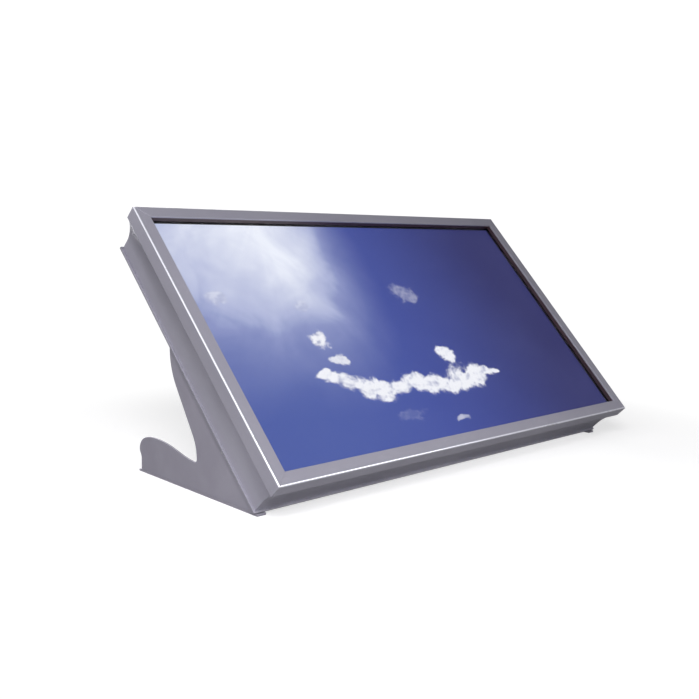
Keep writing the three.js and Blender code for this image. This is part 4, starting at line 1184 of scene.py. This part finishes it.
def makeNetworkSocket():
    parts = sockets["network"]
    front = kiosk["coverFront"] - 14
    floorDepth = kiosk["coverFront"] - 11
    cavity = [(-5.9, -4.6), (5.9, -4.6), (5.9, 3.4), (3, 3.4), (3, 4.6), (2, 4.6), (2, 5.7), (-2, 5.7), (-2, 4.6), (-3, 4.6),
              (-3, 3.4), (-5.9, 3.4)]
    shell = socketShell(parts["opening"], 1.5, 1.5, front, cavity, floorDepth)
    wires = []
    for i in range(8):
        wire = boxMesh("wire", -0.18, 0.18, -0.18, 0.18, -9.5, 0)
        lean = moveBy((i - 3.5) * 1.02, -4.2, -floorDepth + 0.1) @ Matrix.Rotation(math.radians(-17), 4, "X")
        wires.append(movedMesh(wire, lean))
    mesh = joinMeshes([combine(shell[0], shell[1:]), *wires], [0] + [1] * 8)
    place = slopeAt(parts["across"], sockets["up"], 0)
    finishPiece("network_socket", mesh, "blackPlastic", place, 0, extra=["lockBrass"])


switch = {"width": 8.4, "length": 15, "pivotIn": 1.5, "stub": 1.2, "rest": -8, "bodyDepth": 16, "wellDepth": 12}


def makeSwitch():
    fit = kiosk["fit"]
    parts = sockets["switch"]
    front = kiosk["coverFront"] - switch["bodyDepth"]
    floorDepth = kiosk["coverFront"] - switch["wellDepth"]
    well = rectangle(0, 0, switch["width"] + 2 * fit, switch["length"] + 1.2)
    shell = socketShell(parts["opening"], 1.6, 1.8, front, well, floorDepth)
    pivot = kiosk["coverBack"] - switch["pivotIn"]
    stubRoom = switch["stub"] + fit
    hole = turnedMesh("stubHole", [(0, -5.7), (stubRoom, -5.7), (stubRoom, 5.7), (0, 5.7)], 24)
    sideways = Matrix.Rotation(math.radians(90), 4, "Y")
    hole = movedMesh(hole, moveBy(z=-pivot) @ sideways)
    mesh = combine(combine(shell[0], shell[1:]), [hole], "DIFFERENCE")
    finishPiece("switch_frame", mesh, "blackPlastic", slopeAt(parts["across"], sockets["up"], 0), 0)

    half, wide = switch["length"] / 2, switch["width"] / 2
    face = [(-half + (2 * half) * i / 16, -3.9 + 1.25 * (1 - (2 * i / 16 - 1) ** 2)) for i in range(17)]
    outline = [(-half + 0.6, 4.2), *face, (half - 0.6, 4.2)]
    body = movedMesh(prismMesh("rocker", outline, -wide, wide), upright)
    grips = [boxMesh("grip", -2.6, 2.6, y - 0.25, y + 0.25, z - 0.22, z + 1) for y, z in
             ((4.2, -3.0), (5.2, -3.25), (-4.2, -3.0), (-5.2, -3.25))]
    axle = turnedMesh("stub", [(0, -5.3), (switch["stub"], -5.3), (switch["stub"], 5.3), (0, 5.3)], 24)
    rocker = combine(body, [*grips, movedMesh(axle, sideways)])
    place = slopeAt(parts["across"], sockets["up"], pivot) @ Matrix.Rotation(math.radians(switch["rest"]), 4, "X")
    finishPiece("switch_rocker", rocker, "blackPlastic", place, 0.15, body="rocker")


makePowerInlet()
makeNetworkSocket()
makeSwitch()
print("sockets and switch made")


# ---------------- screws and cross bar

screws = {
    "large": {"head": 4.5, "height": 2.6, "shank": 2.3, "length": 14, "key": 1.9},
    "small": {"head": 2.6, "height": 1.4, "shank": 1.6, "length": 12, "key": 1.1},
}


# A button-head screw that points down its own -z, with a thread and a hexagon socket.
def screwMesh(kind):
    size = screws[kind]
    head, height, shank = size["head"], size["height"], size["shank"]
    pitch = 0.8
    profile = [(0, -size["length"]), (shank - 0.6, -size["length"])]
    for i in range(int((size["length"] - 2) / pitch)):
        at = -size["length"] + 0.5 + i * pitch
        profile += [(shank - 0.35, at), (shank, at + pitch / 2)]
    profile += [(shank - 0.2, -0.4), (shank - 0.2, 0), (head - 0.2, 0), (head, 0.25), (head, 0.45)]
    for i in range(1, 7):
        angle = math.radians(90 * i / 7)
        profile.append((head * (0.42 + 0.58 * math.cos(angle)), 0.45 + (height - 0.45) * math.sin(angle)))
    profile += [(head * 0.42, height), (0, height)]
    turned = turnedMesh("screw", profile, 40)
    socket = prismMesh("socket", circle(0, 0, size["key"], 6), height * 0.35, height + 1)
    return combine(turned, [socket], "DIFFERENCE")


def placeScrews():
    fit, flip = kiosk["fit"], Matrix.Rotation(math.pi, 4, "X")
    large, small = screwMesh("large"), screwMesh("small")
    for i, (across, up) in enumerate(coverScrewPlaces):
        place = slopeAt(across, up, kiosk["coverBack"] + fit) @ flip
        finishPiece(f"cover_screw_{i + 1}", large.copy(), "brightSteel", place, 0)
    seat = kiosk["legFront"] + kiosk["legThickness"] + fit
    for side in ("left", "right"):
        for i, (across, up) in enumerate(legScrewPlaces[side]):
            finishPiece(f"leg_screw_{side}_{i + 1}", large.copy(), "brightSteel", slopeAt(across, up, seat) @ flip, 0)
    for side, sign in (("left", -1), ("right", 1)):
        turned = Matrix.Rotation(sign * math.pi / 2, 4, "Y")
        place = slopeAt(sign * (kiosk["legFace"] + fit), kiosk["barUp"], kiosk["barDepth"]) @ turned
        finishPiece(f"cross_bar_screw_{side}", small.copy(), "brightSteel", place, 0)


def makeCrossBar():
    half = kiosk["legFace"] - kiosk["legThickness"] - kiosk["fit"]
    radius, bore, depth = kiosk["barRadius"], screws["small"]["shank"] + kiosk["fit"], 10
    profile = [(0, depth - half), (bore, depth - half), (bore, 0.3 - half), (bore + 0.3, -half), (radius - 0.6, -half),
               (radius, 0.6 - half), (radius, half - 0.6), (radius - 0.6, half), (bore + 0.3, half), (bore, half - 0.3),
               (bore, half - depth), (0, half - depth)]
    bar = movedMesh(turnedMesh("crossBar", profile, 40), Matrix.Rotation(math.radians(90), 4, "Y"))
    finishPiece("cross_bar", bar, "brightSteel", slopeAt(0, kiosk["barUp"], kiosk["barDepth"]), 0)


placeScrews()
makeCrossBar()
print("screws and cross bar made")


# ---------------- legs

leg = {
    "flange": 25, "sole": 18, "foot": 4, "heel": 445.8, "top": 344, "topDrop": 9, "throat": 256.5, "sweep": 33,
    "upperSweep": 126, "lowerSweep": 78, "notch": 6, "humpAt": 396, "humpHeight": 76.2, "noseAt": 452.5,
    "noseHeight": 45, "heelHeight": 25, "footSize": (20, 380), "footFront": 76, "edge": 0.5, "cornerFillet": 3,
}
slopeOrigin = slopeMatrix.translation / mm


# Distance back from the bezel's lowest edge and height over the floor, of a point of the slope's frame.
def behind(up, depth):
    return up * math.cos(kiosk["tilt"]) + depth * math.sin(kiosk["tilt"])


def above(up, depth):
    return up * math.sin(kiosk["tilt"]) - depth * math.cos(kiosk["tilt"]) + slopeOrigin.z


def legOutline():
    sweep, bends = math.radians(leg["sweep"]), leg["upperSweep"] + leg["lowerSweep"]
    base, front = leg["foot"] + kiosk["fit"], kiosk["legFront"]
    toeUp = (base - above(0, front)) / math.sin(kiosk["tilt"])
    peakUp = (leg["top"] - behind(0, front)) / math.cos(kiosk["tilt"])
    sweepStart = above(peakUp, front) - leg["topDrop"]
    straight = (leg["top"] - leg["throat"] - bends * (1 - math.cos(sweep))) / math.sin(sweep)
    throatHeight = sweepStart - bends * math.sin(sweep) - straight * math.cos(sweep)
    notchFloor, notchEnd = throatHeight - leg["notch"], leg["throat"] + leg["notch"]
    heel = (leg["heel"], leg["heelHeight"])
    nose = (leg["noseAt"], leg["noseHeight"])
    hump = (leg["humpAt"], leg["humpHeight"])
    points = [(behind(toeUp, front), base), (leg["heel"], base)]
    points += bezier(heel, (heel[0], heel[1] + 11), (nose[0], nose[1] - 7), nose, 6)
    points += bezier(nose, (nose[0], nose[1] + 19), (hump[0] + 38, hump[1]), hump)[1:]
    points += bezier(hump, (hump[0] - 60, hump[1]), (notchEnd + 45, notchFloor), (notchEnd, notchFloor), 20)[1:]
    points += arc(notchEnd, throatHeight, leg["notch"], -90, -180, 8)[1:]
    points += arc(leg["throat"] + leg["lowerSweep"], throatHeight, leg["lowerSweep"], 180, 180 - leg["sweep"], 16)[1:]
    points += arc(leg["top"] - leg["upperSweep"], sweepStart, leg["upperSweep"], -leg["sweep"], 0, 20)
    points.append((leg["top"], above(peakUp, front)))
    return points, toeUp, peakUp


def legMesh():
    outline, toeUp, peakUp = legOutline()
    thick, face, base = kiosk["legThickness"], kiosk["legFace"], leg["foot"] + kiosk["fit"]
    barBack, barHigh = behind(kiosk["barUp"], kiosk["barDepth"]), above(kiosk["barUp"], kiosk["barDepth"])
    screwHole = circle(barBack, barHigh, screws["small"]["shank"] + kiosk["fit"], 24)
    toWorld = Matrix.Translation((0, slopeMatrix.translation.y, 0))
    plate = movedMesh(plateMesh("legPlate", outline, [screwHole], -face, thick - face, leg["edge"]), toWorld @ upright)

    # The flange that is screwed to the rear cover leaves room for the cross bar.
    inner = thick - face
    reach = inner + leg["flange"] - thick
    low, high = toeUp + thick, peakUp - 3
    room = kiosk["barRadius"] + 2
    flange = [(inner - 1, low), (reach, low), (reach, kiosk["barUp"] - room), (inner + 0.2, kiosk["barUp"] - room),
              (inner + 0.2, kiosk["barUp"] + room), (reach, kiosk["barUp"] + room), (reach, high), (inner - 1, high)]
    holes = [circle(u, v, cover["screwHole"], 24) for u, v in legScrewPlaces["left"]]
    front = kiosk["legFront"]
    seat = movedMesh(plateMesh("legFlange", flange, holes, -front - thick, -front, leg["edge"]), slopeMatrix)

    back = leg["heel"] - 1
    soleFront, soleEdge = behind(toeUp, front) + 2 * thick, reach - leg["flange"] + leg["sole"]
    solePoints = [
        (inner - 1, soleFront), (soleEdge, soleFront), (soleEdge, back - 12), (soleEdge - 6, back),
        (inner - 1, back),
    ]
    sole = movedMesh(plateMesh("legSole", solePoints, [], base, base + thick, leg["edge"]), toWorld)
    return combine(plate, [seat, sole])


def makeLegs():
    left = legMesh()
    right = left.copy()
    right.transform(Matrix.Scale(-1, 4, (1, 0, 0)))
    right.flip_normals()
    finishPiece("left_leg", left, "legFinish", Matrix.Identity(4), 0)
    finishPiece("right_leg", right, "legFinish", Matrix.Identity(4), 0)
    width, length = leg["footSize"]
    for side, sign in (("left", -1), ("right", 1)):
        low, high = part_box(f"{side}_foot_plate")
        outline = rectangle(0, 0, width, length, 2.5)
        holes = [circle(0, along, 2.6, 24) for along in (-length / 2 + 60, length / 2 - 60)]
        mesh = plateMesh("footPlate", outline, holes, -leg["foot"] / 2, leg["foot"] / 2, 0.5)
        finishPiece(f"{side}_foot_plate", mesh, "legFinish", Matrix.Translation((low + high) / 2), 0)


makeLegs()
print("legs made")


# ---------------- CAD nodes whose shape stays

keptNodes = {
    "darkFilter": ["touch_bar_bottom", "touch_bar_right", "touch_bar_top", "touch_bar_left"],
    "coverGlass": ["front_glass"],
    "gasketRubber": ["glass_gasket"],
    "castKey": ["corner_key_bottom_left", "corner_key_bottom_right", "corner_key_top_right", "corner_key_top_left"],
    "innerSheet": ["lcd_backlight", "panel_bracket_left", "panel_bracket_right", "electronics_tray", "power_supply"],
    "blackCase": ["media_player"],
    "circuitBoard": ["display_board", "touch_controller"],
}
keptEdge = {"front_glass": 0.4, "glass_gasket": 0.2, "display_board": 0.2, "touch_controller": 0.2}


def dressNode(node, finish):
    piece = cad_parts[node]
    piece.data.materials.clear()
    piece.data.materials.append(materials[finish])
    weld = piece.modifiers.new("weld", "WELD")
    weld.merge_threshold = 0.000005
    bevel = piece.modifiers.new("softEdges", "BEVEL")
    bevel.width = keptEdge.get(node, 0.4) * mm
    bevel.segments = 2
    bevel.limit_method = "ANGLE"
    bevel.angle_limit = math.radians(40)


for finish, nodes in keptNodes.items():
    for node in nodes:
        dressNode(node, finish)
print("kept pieces dressed")


# ---------------- floor, lights, world

studio = {
    "floorSize": 16,
    "floorColor": (0.5, 0.5, 0.505, 1.0),
    "floorMottle": (0.485, 0.485, 0.49, 1.0),
    "floorLift": 0.6,  # makes the open floor meet the white ground
    "fadeFrom": 0.6,  # beyond this radius the floor turns into the white ground
    "fadeTo": 1.15,
    "roomLight": 0.12,
    "whiteLevel": 1.05,  # of the ground that the camera sees
    "horizon": (0.85, 0.85, 0.87, 1.0),
    "overhead": (0.16, 0.16, 0.18, 1.0),
    "lamps": {
        "key": {
            "place": (-1.4, -1.3, 1.4), "aim": (-0.5, -0.2, 0.1), "size": 0.8, "spread": 130,
            "power": 16.5, "color": (1.0, 0.99, 1.0),
        },
        "side": {
            "place": (-1.9, -0.1, 1.7), "aim": (-0.5, 0, 0.3), "size": 1.9, "spread": 120,
            "power": 8.5, "color": (1.0, 1.0, 1.0),
        },
        "edge": {
            "place": (0.55, -1.35, 0.55), "aim": (-0.45, -0.25, 0.1), "size": 0.9, "spread": 100,
            "power": 2.8, "color": (1.0, 1.0, 1.0),
        },
        "rear": {
            "place": (0.5, 2.6, 0.8), "aim": (0, 0, 0.3), "size": 1.8, "spread": 130,
            "power": 22, "color": (1.0, 1.0, 1.0),
        },
    },
}


def makeFloor():
    material = bpy.data.materials.new("paleFloor")
    material.use_nodes = True
    tree = material.node_tree
    tree.nodes.clear()
    vector = addNode(tree, "ShaderNodeTexCoord").outputs["Object"]
    mottle = remap(tree, noise(tree, vector, 5.0, 3.0), 0.3, 0.7)
    color = mixColor(tree, mottle, studio["floorMottle"], studio["floorColor"])
    matt = addNode(tree, "ShaderNodeBsdfDiffuse", {"Color": color, "Roughness": 0.5}).outputs[0]
    path = addNode(tree, "ShaderNodeLightPath").outputs
    seen = calc(tree, "MAXIMUM", path["Is Camera Ray"], path["Is Transmission Ray"])
    strength = calc(tree, "MULTIPLY", seen, studio["floorLift"])
    lift = addNode(tree, "ShaderNodeEmission", {"Strength": strength}).outputs[0]
    lit = addNode(tree, "ShaderNodeAddShader", {0: matt, 1: lift}).outputs[0]
    radius = addNode(tree, "ShaderNodeVectorMath", {0: vector}, operation="LENGTH").outputs["Value"]
    far = remap(tree, radius, studio["fadeFrom"], studio["fadeTo"], smooth=True)
    white = addNode(tree, "ShaderNodeEmission", {"Strength": studio["whiteLevel"]}).outputs[0]
    faded = calc(tree, "MULTIPLY", far, seen)
    whole = addNode(tree, "ShaderNodeMixShader", {0: faded, 1: lit, 2: white}).outputs[0]
    clear = addNode(tree, "ShaderNodeBsdfTransparent").outputs[0]
    under = addNode(tree, "ShaderNodeNewGeometry").outputs["Backfacing"]
    both = addNode(tree, "ShaderNodeMixShader", {0: under, 1: whole, 2: clear}).outputs[0]
    tree.links.new(both, tree.nodes.new("ShaderNodeOutputMaterial").inputs[0])
    half = studio["floorSize"] / 2
    mesh = bpy.data.meshes.new("floor")
    corners = [(-half, -half, 0), (half, -half, 0), (half, half, 0), (-half, half, 0)]
    mesh.from_pydata(corners, [], [(0, 1, 2, 3)])
    floor = linkObject("floor", mesh)
    floor.location.z = -0.0004
    floor.data.materials.append(material)


def makeLights():
    for name, setup in studio["lamps"].items():
        data = bpy.data.lights.new(name, "AREA")
        data.size = setup["size"]
        data.spread = math.radians(setup["spread"])
        data.energy = setup["power"]
        data.color = setup["color"]
        lamp = bpy.data.objects.new(name, data)
        place = Vector(setup["place"])
        turn = (place - Vector(setup["aim"])).to_track_quat("Z", "Y").to_matrix().to_4x4()
        lamp.matrix_world = Matrix.Translation(place) @ turn
        bpy.context.collection.objects.link(lamp)


def makeWorld():
    world = bpy.data.worlds.new("studioWorld")
    bpy.context.scene.world = world
    world.use_nodes = True
    tree = world.node_tree
    tree.nodes.clear()
    path = addNode(tree, "ShaderNodeLightPath").outputs
    direction = addNode(tree, "ShaderNodeTexCoord").outputs["Generated"]
    height = addNode(tree, "ShaderNodeSeparateXYZ", {0: direction}).outputs[2]
    fade = remap(tree, height, 0.15, 0.55, smooth=True)
    dome = mixColor(tree, fade, studio["horizon"], studio["overhead"])
    whiteGround = {"Color": (1.0, 1.0, 1.0, 1.0), "Strength": studio["whiteLevel"]}
    ground = addNode(tree, "ShaderNodeBackground", whiteGround).outputs[0]
    mirrored = addNode(tree, "ShaderNodeBackground", {"Color": dome, "Strength": 1.0}).outputs[0]
    roomLight = {"Color": (0.98, 0.98, 1.0, 1.0), "Strength": studio["roomLight"]}
    room = addNode(tree, "ShaderNodeBackground", roomLight).outputs[0]
    gloss = calc(tree, "MAXIMUM", path["Is Glossy Ray"], path["Is Transmission Ray"])
    soft = addNode(tree, "ShaderNodeMixShader", {0: gloss, 1: room, 2: mirrored}).outputs[0]
    whole = addNode(tree, "ShaderNodeMixShader", {0: path["Is Camera Ray"], 1: soft, 2: ground}).outputs[0]
    tree.links.new(whole, tree.nodes.new("ShaderNodeOutputWorld").inputs[0])


makeFloor()
makeLights()
makeWorld()
bpy.context.scene.view_settings.view_transform = "Standard"
print("studio made")

bpy.context.view_layer.update()
